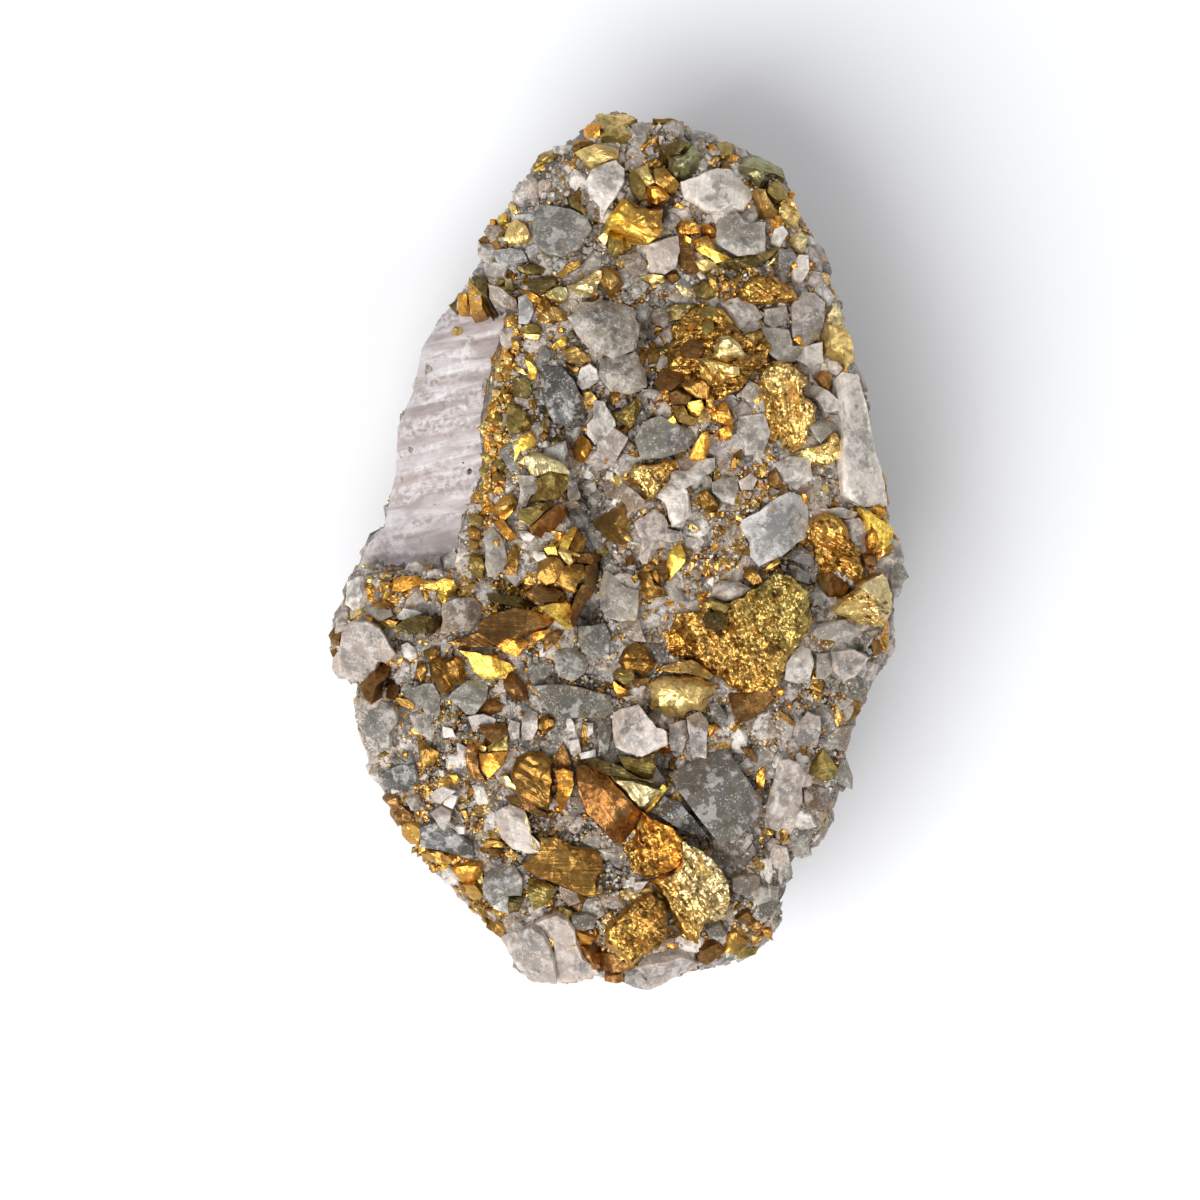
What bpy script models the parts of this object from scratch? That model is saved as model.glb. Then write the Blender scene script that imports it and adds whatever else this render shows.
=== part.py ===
"""A hand-sized chalcopyrite specimen: brassy crystals and rippled masses grown into calcite.

The specimen lies on its broken back with the crystal face up. +X is to the right of the
crystal face, +Y runs up its long axis, +Z is out of the face, and the origin is in the
middle of the flat back. Sizes in the tables are millimetres.
"""
import math

import bpy
import numpy as np

MM = 0.001

# Outline of the whole specimen seen from the front, clockwise from the top, in mm.
OUTLINE = (
    (0.0, 45.0), (6.0, 44.2), (8.7, 43.1), (14.2, 40.6), (17.0, 39.2), (18.6, 35.1),
    (21.7, 28.4), (24.6, 18.8), (26.4, 10.4), (28.2, 2.8), (29.8, -1.7), (28.2, -5.1),
    (28.4, -7.9), (25.7, -15.0), (23.6, -21.0), (21.9, -27.5), (17.8, -31.7),
    (18.0, -33.8), (16.8, -38.4), (14.2, -41.4), (6.4, -43.6), (3.1, -45.0),
    (-1.7, -43.8), (-8.9, -44.3), (-12.0, -39.6), (-20.1, -32.0), (-25.2, -22.7),
    (-27.2, -15.5), (-29.6, -10.6), (-29.6, -8.2), (-27.7, -4.9), (-25.7, 0.8),
    (-23.5, 5.2), (-22.6, 12.8), (-20.1, 20.9), (-15.7, 26.8), (-13.2, 33.0),
    (-8.5, 40.0), (-4.0, 42.5),
)

FRONT_EDGE_HEIGHT = 23.5  # crystal face near the rim, above the back
FRONT_DOME = 5.0          # how much higher the middle of the face is
BACK_FLAT = 0.84          # share of the outline that the flat back fills
AROUND = 84               # points round the outline
FRONT_RINGS = 14          # rings from the middle of the face to its rim
FRONT_SHARE = 0.93        # share of the outline that the crystal face fills

# How the side runs from the rim down to the back: share of the outline, then the drop
# below the rim or the height above the back, in mm.
RIM = ((0.97, -1.6), (1.0, -5.0))
FLANK = ((0.998, 15.5), (0.990, 12.0), (0.975, 8.5), (0.950, 5.2), (0.910, 2.4), (0.870, 0.7))
# Broken faces of the flank: the way each one faces and its underhang, in degrees, and the
# height in mm at which it meets the outermost point of the outline on that side.
BREAKS = ((4, 17, 16.0), (29, 27, 13.0), (63, 33, 17.0), (97, 22, 14.0), (131, 28, 18.0),
          (168, 14, 15.0), (206, 30, 17.0), (231, 20, 13.0), (268, 31, 16.0),
          (301, 24, 17.0), (335, 30, 14.0))

GRAZING = 0.2             # a broken face leaves alone the directions this close to its own plane
TINY = 1e-9               # keeps a division away from zero

# Smooth calcite slab at the left: it lies lower than the crust beside it.
SLAB_BORDER = ((-9.5, 26.0), (-11.4, 20.0), (-12.8, 14.0), (-12.6, 8.0), (-14.8, 3.0),
               (-15.6, -2.0))
SLAB_TOP = 26.0
SLAB_FOOT = -2.6
SLAB_HEIGHT = 21.2        # height at x = -12
SLAB_SLOPE = 0.30         # rise to the right
SLAB_STEP = 1.4           # width of the step up to the crust

# Open trough down the middle of the face and single pits: x, y, depth, radius.
TROUGH = ((3.9, 23.0, 5.0, 2.6), (3.0, 18.0, 2.0, 2.0), (-5.5, 15.0, 2.6, 2.8),
          (-4.5, 11.0, 3.4, 2.6), (-2.8, 6.0, 4.6, 2.4), (-3.6, 3.0, 4.2, 2.2),
          (-1.6, -0.8, 4.0, 2.0), (-2.8, -6.0, 4.6, 1.8), (2.6, -0.2, 2.4, 1.8))
PITS = ((4.9, -21.4, 3.4, 1.5), (24.0, -4.0, 2.4, 1.0), (-10.4, -3.8, 2.8, 1.8),
        (-24.2, -12.6, 3.4, 1.6), (-2.2, -41.0, 3.0, 1.6), (9.8, 7.6, 2.0, 1.6),
        (15.5, -29.0, 2.2, 1.8), (6.5, -26.8, 2.4, 1.8))

FOOT_DEPTH = 3.0          # how far a crystal's foot is sunk in the crust
FOOT_SCALE = 0.72         # foot outline against the crystal's own outline
SHOULDER = 0.35           # share of the rise at which a crystal is widest

# The larger crystals: rise above the crust, size of the flat top, corners x, y in turn.
CHALCOPYRITE = (
    (2.6, 0.55, (-1.8, 31.8, -0.5, 34.2, 0.7, 35.7, 4.6, 34.3, 4.5, 31.6, 1.0, 31.0)),
    (2.4, 0.45, (3.6, 41.0, 6.4, 41.9, 8.7, 40.4, 8.2, 38.8, 6.0, 37.9, 4.3, 39.4)),
    (2.2, 0.30, (3.8, 38.6, 6.3, 37.2, 5.3, 35.3, 3.0, 35.2, 2.0, 36.8)),
    (2.2, 0.40, (12.2, 39.2, 14.0, 40.5, 17.0, 39.2, 16.2, 37.6, 14.2, 36.9)),
    (2.6, 0.25, (7.6, 31.6, 9.9, 31.1, 12.2, 29.6, 9.4, 28.0, 6.6, 28.4)),
    (2.0, 0.30, (10.2, 28.9, 15.5, 30.5, 17.0, 31.1, 14.4, 28.8)),
    (2.2, 0.35, (-9.8, 27.4, -6.0, 28.0, -1.6, 28.3, -2.2, 26.0, -6.2, 25.2)),
    (2.4, 0.30, (-1.8, 28.4, 0.2, 28.1, 0.6, 26.4, -0.8, 25.4)),
    (1.8, 0.40, (-19.0, 22.6, -17.4, 24.8, -15.7, 23.3, -17.0, 22.0)),
    (2.0, 0.40, (-16.2, 26.2, -14.2, 27.8, -13.0, 25.6, -13.6, 23.5, -15.8, 24.0)),
    (3.4, 0.30, (5.4, 22.8, 9.4, 24.7, 13.0, 20.0, 12.3, 17.6, 8.2, 17.4, 6.2, 20.0)),
    (2.6, 0.30, (4.2, 17.4, 8.6, 17.2, 9.8, 15.0, 7.4, 12.6, 5.0, 15.0)),
    (2.8, 0.60, (14.8, 19.2, 19.6, 17.8, 20.1, 13.4, 19.2, 10.6, 16.2, 11.2, 15.1, 15.0)),
    (2.2, 0.50, (18.4, 10.2, 22.2, 12.0, 22.8, 9.8, 20.8, 8.6)),
    (2.4, 0.30, (-10.9, 12.0, -10.1, 14.7, -8.1, 13.0, -8.3, 10.6, -10.4, 9.4)),
    (2.4, 0.30, (-10.3, 9.0, -8.0, 10.0, -4.9, 8.1, -8.4, 7.2)),
    (3.2, 0.25, (-9.8, 3.2, -8.2, 7.0, -5.6, 7.8, -4.9, 6.0, -7.8, 1.4)),
    (2.6, 0.20, (-2.5, 2.6, 0.8, 4.8, 1.6, 1.2, -1.2, 0.8)),
    (2.0, 0.30, (1.4, 7.4, 5.1, 9.0, 6.3, 8.4, 3.6, 5.2)),
    (3.6, 0.25, (-8.1, -1.4, -4.6, 2.3, -2.4, -1.4, -3.0, -4.6, -6.4, -4.0)),
    (3.2, 0.10, (-9.0, -4.8, -4.6, -4.6, -4.2, -7.9, -6.4, -7.2)),
    (3.4, 0.20, (-16.0, -9.8, -12.6, -6.4, -6.4, -7.4, -10.0, -11.8, -12.6, -13.0)),
    (2.8, 0.35, (-19.2, -10.8, -15.6, -10.8, -15.3, -13.2, -17.2, -14.5)),
    (2.2, 0.40, (-22.7, -3.2, -18.8, -2.9, -16.2, -3.6, -17.6, -5.0, -22.6, -4.2)),
    (2.4, 0.25, (-22.6, -7.8, -20.0, -6.5, -16.9, -7.2, -19.0, -8.6)),
    (2.6, 0.15, (-14.6, -20.4, -11.0, -18.6, -11.0, -20.6, -13.0, -23.0)),
    (3.2, 0.55, (-10.7, -22.2, -8.8, -20.3, -6.5, -21.2, -6.4, -25.0, -7.2, -26.3,
                 -10.2, -24.8)),
    (2.8, 0.30, (-6.2, -21.9, -4.4, -22.3, -4.6, -25.0, -5.6, -26.3)),
    (3.8, 0.60, (-4.1, -21.6, -0.9, -22.7, 4.6, -24.0, 2.6, -26.5, 0.6, -29.5,
                 -3.6, -26.0)),
    (4.4, 0.50, (2.6, -26.5, 6.8, -29.0, 11.3, -33.8, 11.2, -37.0, 8.2, -40.0,
                 3.4, -33.4, 0.6, -30.4)),
    (3.8, 0.45, (-1.2, -38.8, 3.0, -34.7, 5.6, -37.2, 4.6, -41.0, 1.2, -42.0)),
    (3.0, 0.65, (-9.6, -31.8, -7.6, -29.2, -2.6, -30.1, -1.5, -32.2, -2.2, -34.8,
                 -6.8, -33.5)),
    (2.8, 0.60, (3.5, -13.2, 6.6, -12.6, 9.9, -13.8, 8.8, -16.2, 3.5, -16.0)),
    (4.0, 0.65, (4.9, -8.8, 7.2, -6.2, 12.4, -4.8, 16.6, -2.5, 19.5, -5.0, 19.3, -8.6,
                 16.6, -12.6, 15.0, -14.3, 11.4, -13.8)),
    (2.2, 0.50, (11.4, -14.6, 15.8, -14.4, 15.0, -16.2, 12.3, -17.3)),
    (2.4, 0.30, (0.1, -11.2, 2.2, -9.2, 3.8, -11.6, 1.4, -14.6, -0.3, -13.6)),
    (2.6, 0.20, (2.4, -2.4, 6.4, 0.6, 6.9, -1.4, 3.6, -4.8)),
    (2.6, 0.50, (19.7, 3.2, 22.8, 3.1, 23.4, 0.4, 20.6, -1.5)),
    (2.4, 0.40, (24.7, 4.2, 28.0, 2.2, 27.3, 0.2, 25.6, 0.2)),
    (2.6, 0.30, (21.2, -4.8, 24.2, -0.4, 27.3, -3.0, 27.2, -7.4, 23.0, -6.6)),
    (2.2, 0.40, (10.9, -40.8, 11.8, -38.7, 16.0, -39.6, 13.4, -41.6)),
)
CALCITE = (
    (2.4, 0.70, (-3.2, 37.0, -1.2, 39.2, 0.7, 38.4, 0.1, 36.0, -1.6, 33.4)),
    (2.6, 0.65, (3.0, 30.8, 6.2, 31.8, 6.0, 28.5, 3.4, 28.1)),
    (2.4, 0.70, (6.5, 37.4, 11.2, 38.9, 14.0, 36.0, 15.0, 30.6, 11.2, 30.2, 7.8, 35.2)),
    (2.2, 0.60, (-8.5, 33.6, -6.0, 35.0, -3.0, 33.8, -3.6, 30.6, -7.2, 29.8)),
    (2.0, 0.60, (-12.4, 30.0, -9.5, 30.4, -8.8, 24.8, -10.0, 23.4)),
    (3.0, 0.50, (-5.0, 24.6, 0.0, 25.0, 3.2, 20.0, 2.6, 16.4, -3.4, 16.8)),
    (3.2, 0.45, (-2.4, 15.2, -0.6, 14.4, 0.8, 11.0, -1.6, 9.6, -3.0, 12.0)),
    (2.0, 0.60, (2.4, 13.0, 8.0, 12.1, 7.0, 9.6, 2.4, 9.2)),
    (2.2, 0.60, (17.7, 24.8, 20.4, 26.0, 21.4, 22.0, 18.4, 19.2, 15.6, 20.4)),
    (2.6, 0.50, (4.4, 5.4, 7.6, 8.6, 7.4, 3.2, 4.0, 0.2, 2.6, 1.2)),
    (2.8, 0.70, (12.3, 2.8, 17.4, 5.9, 19.4, 4.2, 18.6, 0.8, 14.4, -1.6)),
    (2.2, 0.60, (9.6, 6.6, 12.3, 7.4, 11.8, 4.6, 9.8, 5.4)),
    (3.2, 0.60, (-1.4, -2.2, 2.2, -4.2, 2.8, -9.0, -1.6, -5.8)),
    (2.6, 0.60, (-6.2, -10.4, -3.6, -7.6, -0.7, -7.8, -1.6, -11.0, -4.4, -13.1)),
    (2.6, 0.65, (-29.0, -11.8, -26.8, -7.2, -24.0, -8.0, -22.8, -10.6, -25.0, -13.2,
                 -28.4, -13.0)),
    (2.2, 0.60, (-17.6, -5.4, -13.8, -5.2, -14.0, -7.6, -17.6, -8.3)),
    (2.4, 0.60, (-25.8, -17.6, -23.8, -15.4, -22.3, -17.2, -23.2, -20.2, -25.2, -19.8)),
    (3.2, 0.65, (-0.4, -16.4, 2.2, -15.5, 5.1, -18.4, 3.6, -20.6, -0.2, -20.0)),
    (3.2, 0.75, (5.2, -22.6, 11.0, -19.9, 14.6, -25.4, 11.2, -29.3)),
    (2.8, 0.60, (16.4, -21.2, 19.1, -22.6, 18.4, -27.0, 15.3, -26.4)),
    (2.4, 0.55, (17.0, -12.6, 18.8, -9.7, 19.9, -11.4, 18.4, -13.5)),
    (2.4, 0.55, (20.4, -10.6, 25.6, -10.8, 26.6, -12.8, 21.4, -13.4)),
    (3.0, 0.60, (-12.2, -26.6, -9.6, -25.9, -7.7, -30.4, -10.8, -30.2)),
    (2.2, 0.60, (-13.6, -33.6, -10.4, -31.8, -9.6, -35.6, -12.4, -36.4)),
    (2.0, 0.70, (-11.4, -39.2, -8.6, -38.2, -6.3, -43.8, -9.2, -43.9, -10.9, -41.4)),
    (2.2, 0.70, (-8.2, -38.0, -5.2, -37.2, -2.2, -42.6, -5.0, -44.2, -6.4, -43.6)),
    (2.0, 0.60, (0.9, -43.6, 6.4, -41.3, 8.0, -42.2, 3.4, -44.7)),
)


def outline_radius(angles):
    """Distance from the middle to the outline along each angle."""
    corners = np.array(OUTLINE + OUTLINE[:1])
    ends = corners[1:] - corners[:-1]
    reach = np.zeros(len(angles))
    for start, side in zip(corners[:-1], ends):
        across = np.cos(angles) * side[1] - np.sin(angles) * side[0]
        safe = np.where(np.abs(across) < TINY, TINY, across)
        out = (start[0] * side[1] - start[1] * side[0]) / safe
        along = (start[0] * np.sin(angles) - start[1] * np.cos(angles)) / safe
        hit = (along >= -TINY) & (along <= 1.0 + TINY) & (out > 0.0)
        reach = np.where(hit, np.maximum(reach, out), reach)
    return reach


def smooth_step(value):
    """0 below 0, 1 above 1, and a smooth curve between."""
    value = np.clip(value, 0.0, 1.0)
    return value * value * (3.0 - 2.0 * value)


def face_height(x, y):
    """Height of the crust above the back at a place on the crystal face, in mm."""
    share = np.hypot(x, y) / outline_radius(np.arctan2(y, x))
    crust = FRONT_EDGE_HEIGHT + FRONT_DOME * (1.0 - share * share)
    for px, py, depth, radius in TROUGH + PITS:
        crust = crust - depth * np.exp(-((x - px) ** 2 + (y - py) ** 2) / radius ** 2)
    border_y = [point[1] for point in SLAB_BORDER][::-1]
    border_x = [point[0] for point in SLAB_BORDER][::-1]
    inside = smooth_step((np.interp(y, border_y, border_x) - x) / SLAB_STEP)
    inside = inside * smooth_step((y - SLAB_FOOT) / SLAB_STEP)
    inside = inside * smooth_step((SLAB_TOP - y) / SLAB_STEP)
    slab = SLAB_HEIGHT + SLAB_SLOPE * (x + 12.0)
    return crust + (np.minimum(slab, crust) - crust) * inside


def broken_reach(angles, height):
    """Reach of the flank at one height: the outline, cut back by the broken faces."""
    reach = outline_radius(angles)
    corners = np.array(OUTLINE)
    for direction, underhang, level in BREAKS:
        facing = math.radians(direction)
        outermost = np.max(corners @ np.array([math.cos(facing), math.sin(facing)]))
        run = outermost + (height - level) * math.tan(math.radians(underhang))
        turned = np.cos(angles - facing)
        limit = np.where(turned > GRAZING, run / np.maximum(turned, GRAZING), np.inf)
        reach = np.minimum(reach, limit)
    return reach


def material(name, colour, roughness, metallic):
    """Plain surface of one mineral."""
    surface = bpy.data.materials.new(name)
    surface.use_nodes = True
    shader = surface.node_tree.nodes["Principled BSDF"]
    shader.inputs["Base Color"].default_value = (*colour, 1.0)
    shader.inputs["Roughness"].default_value = roughness
    shader.inputs["Metallic"].default_value = metallic
    return surface


def mesh_object(name, points, faces, surface):
    """Object with the given corners in mm, and faces that point outwards."""
    mesh = bpy.data.meshes.new(name)
    mesh.from_pydata([tuple(MM * float(value) for value in point) for point in points], [], faces)
    mesh.materials.append(surface)
    item = bpy.data.objects.new(name, mesh)
    bpy.context.scene.collection.objects.link(item)
    return item


def ring_faces(lower, upper, count):
    """Four-sided faces between two rings of points, the first ring outside or below."""
    return [
        (lower + k, lower + (k + 1) % count, upper + (k + 1) % count, upper + k)
        for k in range(count)
    ]


def body(surface):
    """Matrix: crystal face, rounded rim, broken flank and flat back, as one closed shell."""
    angles = np.arange(AROUND) * 2.0 * math.pi / AROUND
    reach = outline_radius(angles)
    cosine, sine = np.cos(angles), np.sin(angles)
    rings = []
    for share, height in ((BACK_FLAT, 0.0),) + FLANK[::-1]:
        distance = np.minimum(share * reach, broken_reach(angles, height))
        rings.append((distance, np.full(AROUND, height)))
    edge = face_height(reach * cosine, reach * sine)
    for share, drop in RIM[::-1]:
        rings.append((share * reach, edge + drop))
    for step in range(FRONT_RINGS - 1, 0, -1):
        distance = FRONT_SHARE * step / (FRONT_RINGS - 1) * reach
        rings.append((distance, face_height(distance * cosine, distance * sine)))
    points, faces = [], [tuple(reversed(range(AROUND)))]
    for distance, height in rings:
        points += list(zip(distance * cosine, distance * sine, height))
    for k in range(len(rings) - 1):
        faces += ring_faces(k * AROUND, (k + 1) * AROUND, AROUND)
    points.append((0.0, 0.0, float(face_height(np.zeros(1), np.zeros(1))[0])))
    top, last = len(points) - 1, (len(rings) - 1) * AROUND
    faces += [(last + k, last + (k + 1) % AROUND, top) for k in range(AROUND)]
    return mesh_object("chalcopyrite_specimen", points, faces, surface)


def crystal(name, rise, top, flat_corners, surface):
    """One crystal: foot sunk in the crust, widest at its shoulder, with a smaller flat top."""
    corners = np.array(flat_corners).reshape(-1, 2)
    after = np.roll(corners, -1, axis=0)
    if np.sum(corners[:, 0] * after[:, 1] - corners[:, 1] * after[:, 0]) < 0.0:
        corners = corners[::-1]
    middle = corners.mean(axis=0)
    ground = face_height(corners[:, 0], corners[:, 1])
    level = float(face_height(middle[:1], middle[1:])[0])
    count = len(corners)
    foot = middle + (corners - middle) * FOOT_SCALE
    crown = middle + (corners - middle) * top
    points = [(x, y, z - FOOT_DEPTH) for (x, y), z in zip(foot, ground)]
    points += [(x, y, z + SHOULDER * rise) for (x, y), z in zip(corners, ground)]
    tilt = (ground - ground.mean()) * top
    points += [(x, y, level + rise + t) for (x, y), t in zip(crown, tilt)]
    points += [(*middle, float(ground.mean()) - FOOT_DEPTH), (*middle, level + rise)]
    faces = ring_faces(0, count, count) + ring_faces(count, 2 * count, count)
    for k in range(count):
        follow = (k + 1) % count
        faces.append((follow, k, 3 * count))
        faces.append((2 * count + k, 2 * count + follow, 3 * count + 1))
    return mesh_object(name, points, faces, surface)


def unite(whole, piece):
    """Grow one crystal into the specimen and drop the loose copy."""
    modifier = whole.modifiers.new(piece.name, "BOOLEAN")
    modifier.operation = "UNION"
    modifier.solver = "EXACT"
    modifier.object = piece
    bpy.context.view_layer.update()
    joined = whole.evaluated_get(bpy.context.evaluated_depsgraph_get())
    grown = bpy.data.meshes.new_from_object(joined)
    whole.modifiers.clear()
    whole.data = grown
    bpy.data.objects.remove(piece)


for item in list(bpy.data.objects):
    bpy.data.objects.remove(item)

matrix = material("matrix", (0.30, 0.28, 0.26), 0.75, 0.0)
brass = material("chalcopyrite", (0.62, 0.42, 0.12), 0.28, 1.0)
spar = material("calcite", (0.72, 0.69, 0.70), 0.40, 0.0)

specimen = body(matrix)
for kind, surface, rows in (("chalcopyrite", brass, CHALCOPYRITE), ("calcite", spar, CALCITE)):
    for number, (rise, top, corners) in enumerate(rows):
        unite(specimen, crystal(f"{kind}_{number}", rise, top, corners, surface))
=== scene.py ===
# %% [markdown]
# # A chalcopyrite specimen, crystal face up
# The object is a piece of ore 90 mm long: brassy chalcopyrite crystals and rippled masses
# that grew together with milky calcite and grey quartz on a bed of fine crystals. This file
# gives the imported solid its looks. The rock itself is one closed shell worked out with numpy,
# and every larger crystal is a small closed surface that stands in it, because that is how a
# vein fills: each crystal has its own flat faces, its own tarnish and its own growth lines.

# %% Load the frame
import math

import bpy
import numpy as np
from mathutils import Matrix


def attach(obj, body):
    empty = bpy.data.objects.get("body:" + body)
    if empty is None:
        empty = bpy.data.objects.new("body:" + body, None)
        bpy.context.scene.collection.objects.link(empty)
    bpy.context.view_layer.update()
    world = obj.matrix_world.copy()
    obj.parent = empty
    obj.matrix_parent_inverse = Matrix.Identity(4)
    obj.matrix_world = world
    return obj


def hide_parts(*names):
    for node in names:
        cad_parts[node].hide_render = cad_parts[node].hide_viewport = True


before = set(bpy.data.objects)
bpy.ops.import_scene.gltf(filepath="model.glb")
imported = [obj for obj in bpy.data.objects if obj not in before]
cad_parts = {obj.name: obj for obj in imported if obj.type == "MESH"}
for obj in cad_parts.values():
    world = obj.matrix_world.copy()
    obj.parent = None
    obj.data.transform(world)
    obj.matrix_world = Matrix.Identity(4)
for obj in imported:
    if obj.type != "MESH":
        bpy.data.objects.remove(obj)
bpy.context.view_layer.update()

MM = 0.001

# %% [markdown]
# ## Numbers that look random but never change
# A natural surface needs noise. Here each whole-number place in space gets a fixed value from
# a mixing of its coordinates, and values in between are blended from the eight places around
# it, so the same rock comes out on every run. Ripples use the same noise folded at its zeros.

# %% Noise for shapes
ODD_X, ODD_Y, ODD_Z, ODD_SEED = 374761393, 668265263, 1274126177, 974634777
ODD_FIRST, ODD_SECOND = 1103515245, 2246822519
LOW_BITS = 0xFFFFFFFF


def lattice_value(cell, seed):
    """Value from -1 to 1 for whole-number places: x, y, z and seed multiplied by large odd
    numbers, added, and mixed by shifting and multiplying. Only the low 32 bits are kept."""
    mixed = (cell[..., 0] * ODD_X + cell[..., 1] * ODD_Y + cell[..., 2] * ODD_Z
             + seed * ODD_SEED) & LOW_BITS
    mixed = ((mixed ^ (mixed >> 13)) * ODD_FIRST) & LOW_BITS
    mixed = ((mixed ^ (mixed >> 16)) * ODD_SECOND) & LOW_BITS
    return (mixed ^ (mixed >> 15)) / (LOW_BITS / 2.0) - 1.0


def chance_of(number, what, seed):
    """A fixed value from -1 to 1 for one crystal's number and one of its features."""
    return float(lattice_value(np.array([number, *what]), seed))


def noise(points, size, seed):
    """Smooth noise: the values at the eight lattice places around a point, blended with the
    smooth curve 3t^2 - 2t^3 along each axis. size is the width of one bump in mm."""
    place = points / size
    cell = np.floor(place).astype(np.int64)
    part = place - cell
    part = part * part * (3.0 - 2.0 * part)
    total = np.zeros(points.shape[:-1])
    for corner in np.ndindex(2, 2, 2):
        side = np.array(corner)
        weight = np.prod(np.where(side == 1, part, 1.0 - part), axis=-1)
        total += weight * lattice_value(cell + side, seed)
    return total


def layered(points, size, seed, layers=3):
    """Noise plus the same at half the size and half the height, and so on."""
    return sum(noise(points, size / 2 ** k, seed + k) / 2 ** k for k in range(layers))


def smooth_step(value):
    """0 below 0, 1 above 1, and the curve 3t^2 - 2t^3 between."""
    value = np.clip(value, 0.0, 1.0)
    return value * value * (3.0 - 2.0 * value)


print("noise at one place:", noise(np.array([1.2, 3.4, 5.6]), 1.0, 7))

# %% [markdown]
# ## The shape of the rock
# Seen from the front the specimen has a long ragged outline, narrower at the top. The crystal
# face is slightly domed, with an open trough down its middle and a lower step at the left
# where a smooth calcite slab lies. The broken flank leans in towards a flat back. The solid
# in the frame has the same form with fewer corners, so both stay together.

# %% Outline, crust height and broken flank
# corners of the outline, x and y in mm
OUTLINE = np.array((
    (0.0, 45.0), (2.4, 44.0), (6.0, 44.2), (8.7, 43.1), (12.0, 41.7), (14.2, 40.6), (17.0, 39.2),
    (18.6, 35.1), (20.3, 32.5), (21.7, 28.4), (22.8, 25.6), (23.9, 22.2), (24.6, 18.8),
    (25.7, 14.8), (26.4, 10.4), (27.6, 7.1), (28.2, 2.8), (29.0, 1.2), (29.7, -1.7),
    (29.4, -3.3), (28.2, -5.1), (28.0, -7.0), (28.5, -7.9), (27.5, -10.8), (25.7, -14.3),
    (25.4, -15.8), (24.2, -17.9), (23.5, -20.8), (23.6, -23.7), (21.9, -26.7), (21.6, -28.8),
    (19.7, -30.9), (17.6, -31.7), (18.2, -33.6), (16.7, -35.1), (17.0, -38.4), (15.6, -40.0),
    (14.2, -41.4), (9.5, -42.5), (6.4, -43.6), (3.1, -45.0), (0.6, -44.3), (-1.7, -43.6),
    (-4.4, -44.4), (-8.9, -44.2), (-10.7, -41.6), (-12.0, -39.6), (-15.8, -35.8),
    (-20.1, -32.0), (-22.0, -29.5), (-25.2, -22.7), (-26.5, -18.6), (-27.2, -15.5),
    (-26.4, -13.8), (-28.4, -13.2), (-29.3, -11.6), (-29.5, -8.8), (-28.3, -7.4),
    (-27.7, -4.9), (-27.1, -2.7), (-25.7, 0.8), (-24.0, 2.5), (-23.5, 5.2), (-22.8, 8.2),
    (-22.6, 12.8), (-21.0, 16.3), (-20.1, 20.9), (-18.0, 24.1), (-15.7, 26.8), (-14.0, 29.4),
    (-13.2, 33.0), (-10.9, 36.1), (-8.5, 40.0), (-6.5, 41.3), (-4.0, 42.5), (-2.1, 44.3),
))
EDGE_HEIGHT = 23.5  # of the crust at the outline
DOME = 5.0  # how much higher the middle is
RIM_START = 0.93  # share of the outline where the crust turns over
RIM_DROP = 5.0  # how far it falls from there to the outline
# each break: the way it faces and the way it leans in, in degrees, and the level where it starts
BREAKS = np.array((
    (4, 17, 16.0), (29, 27, 13.0), (63, 33, 17.0), (97, 22, 14.0), (131, 28, 18.0),
    (168, 14, 15.0), (206, 30, 17.0), (231, 20, 13.0), (268, 31, 16.0), (301, 24, 17.0),
    (335, 30, 14.0),
))
LEAST_COSINE = 0.2  # a break reaches no further round than this
FLANK_HEIGHT = (0.0, 0.7, 2.4, 5.2, 8.5, 12.0, 15.5, 18.5)
FLANK_SHARE = (0.84, 0.870, 0.910, 0.950, 0.975, 0.990, 0.998, 1.0)
SLAB_BORDER_Y = (-2.0, 3.0, 8.0, 14.0, 20.0, 26.0)
SLAB_BORDER_X = (-15.6, -14.8, -12.6, -12.8, -11.4, -9.5)
SLAB_LOW_Y, SLAB_HIGH_Y = -2.6, 26.0
SLAB_STEP = 1.4  # width of the step from the crust down to the slab
# each hollow: x, y, depth and radius
HOLLOWS = np.array((
    (3.9, 23.0, 5.0, 2.6), (3.0, 18.0, 2.0, 2.0), (-5.5, 15.0, 2.6, 2.8), (-4.5, 11.0, 3.4, 2.6),
    (-2.8, 6.0, 4.6, 2.4), (-3.6, 3.0, 4.2, 2.2), (-1.6, -0.8, 4.0, 2.0), (-2.8, -6.0, 4.6, 1.8),
    (2.6, -0.2, 2.4, 1.8), (4.9, -21.4, 3.4, 1.5), (24.0, -4.0, 2.4, 1.0), (-10.4, -3.8, 2.8, 1.8),
    (-24.2, -12.6, 3.4, 1.6), (-2.2, -41.0, 3.0, 1.6), (9.8, 7.6, 2.0, 1.6), (15.5, -29.0, 2.2, 1.8),
    (6.5, -26.8, 2.4, 1.8),
))


def outline_table(steps=1440):
    """Reach of the outline for equal steps of angle: where a ray from the middle crosses each
    side of the outline, keeping the crossing that lies between the side's two ends."""
    angles = np.linspace(-math.pi, math.pi, steps + 1)[:, None]
    start, end = OUTLINE, np.roll(OUTLINE, -1, axis=0)
    side = end - start
    across = np.cos(angles) * side[:, 1] - np.sin(angles) * side[:, 0]
    out = (start[:, 0] * side[:, 1] - start[:, 1] * side[:, 0]) / across
    along = (start[:, 0] * np.sin(angles) - start[:, 1] * np.cos(angles)) / across
    hit = (along > -1e-6) & (along < 1.0 + 1e-6) & (out > 0.0)
    return angles[:, 0], np.max(np.where(hit, out, 0.0), axis=1)


TURN, REACH = outline_table()


def outline_reach(angles):
    """Distance from the middle to the outline along each angle, in mm."""
    return np.interp(np.mod(angles + math.pi, 2.0 * math.pi) - math.pi, TURN, REACH)


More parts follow.
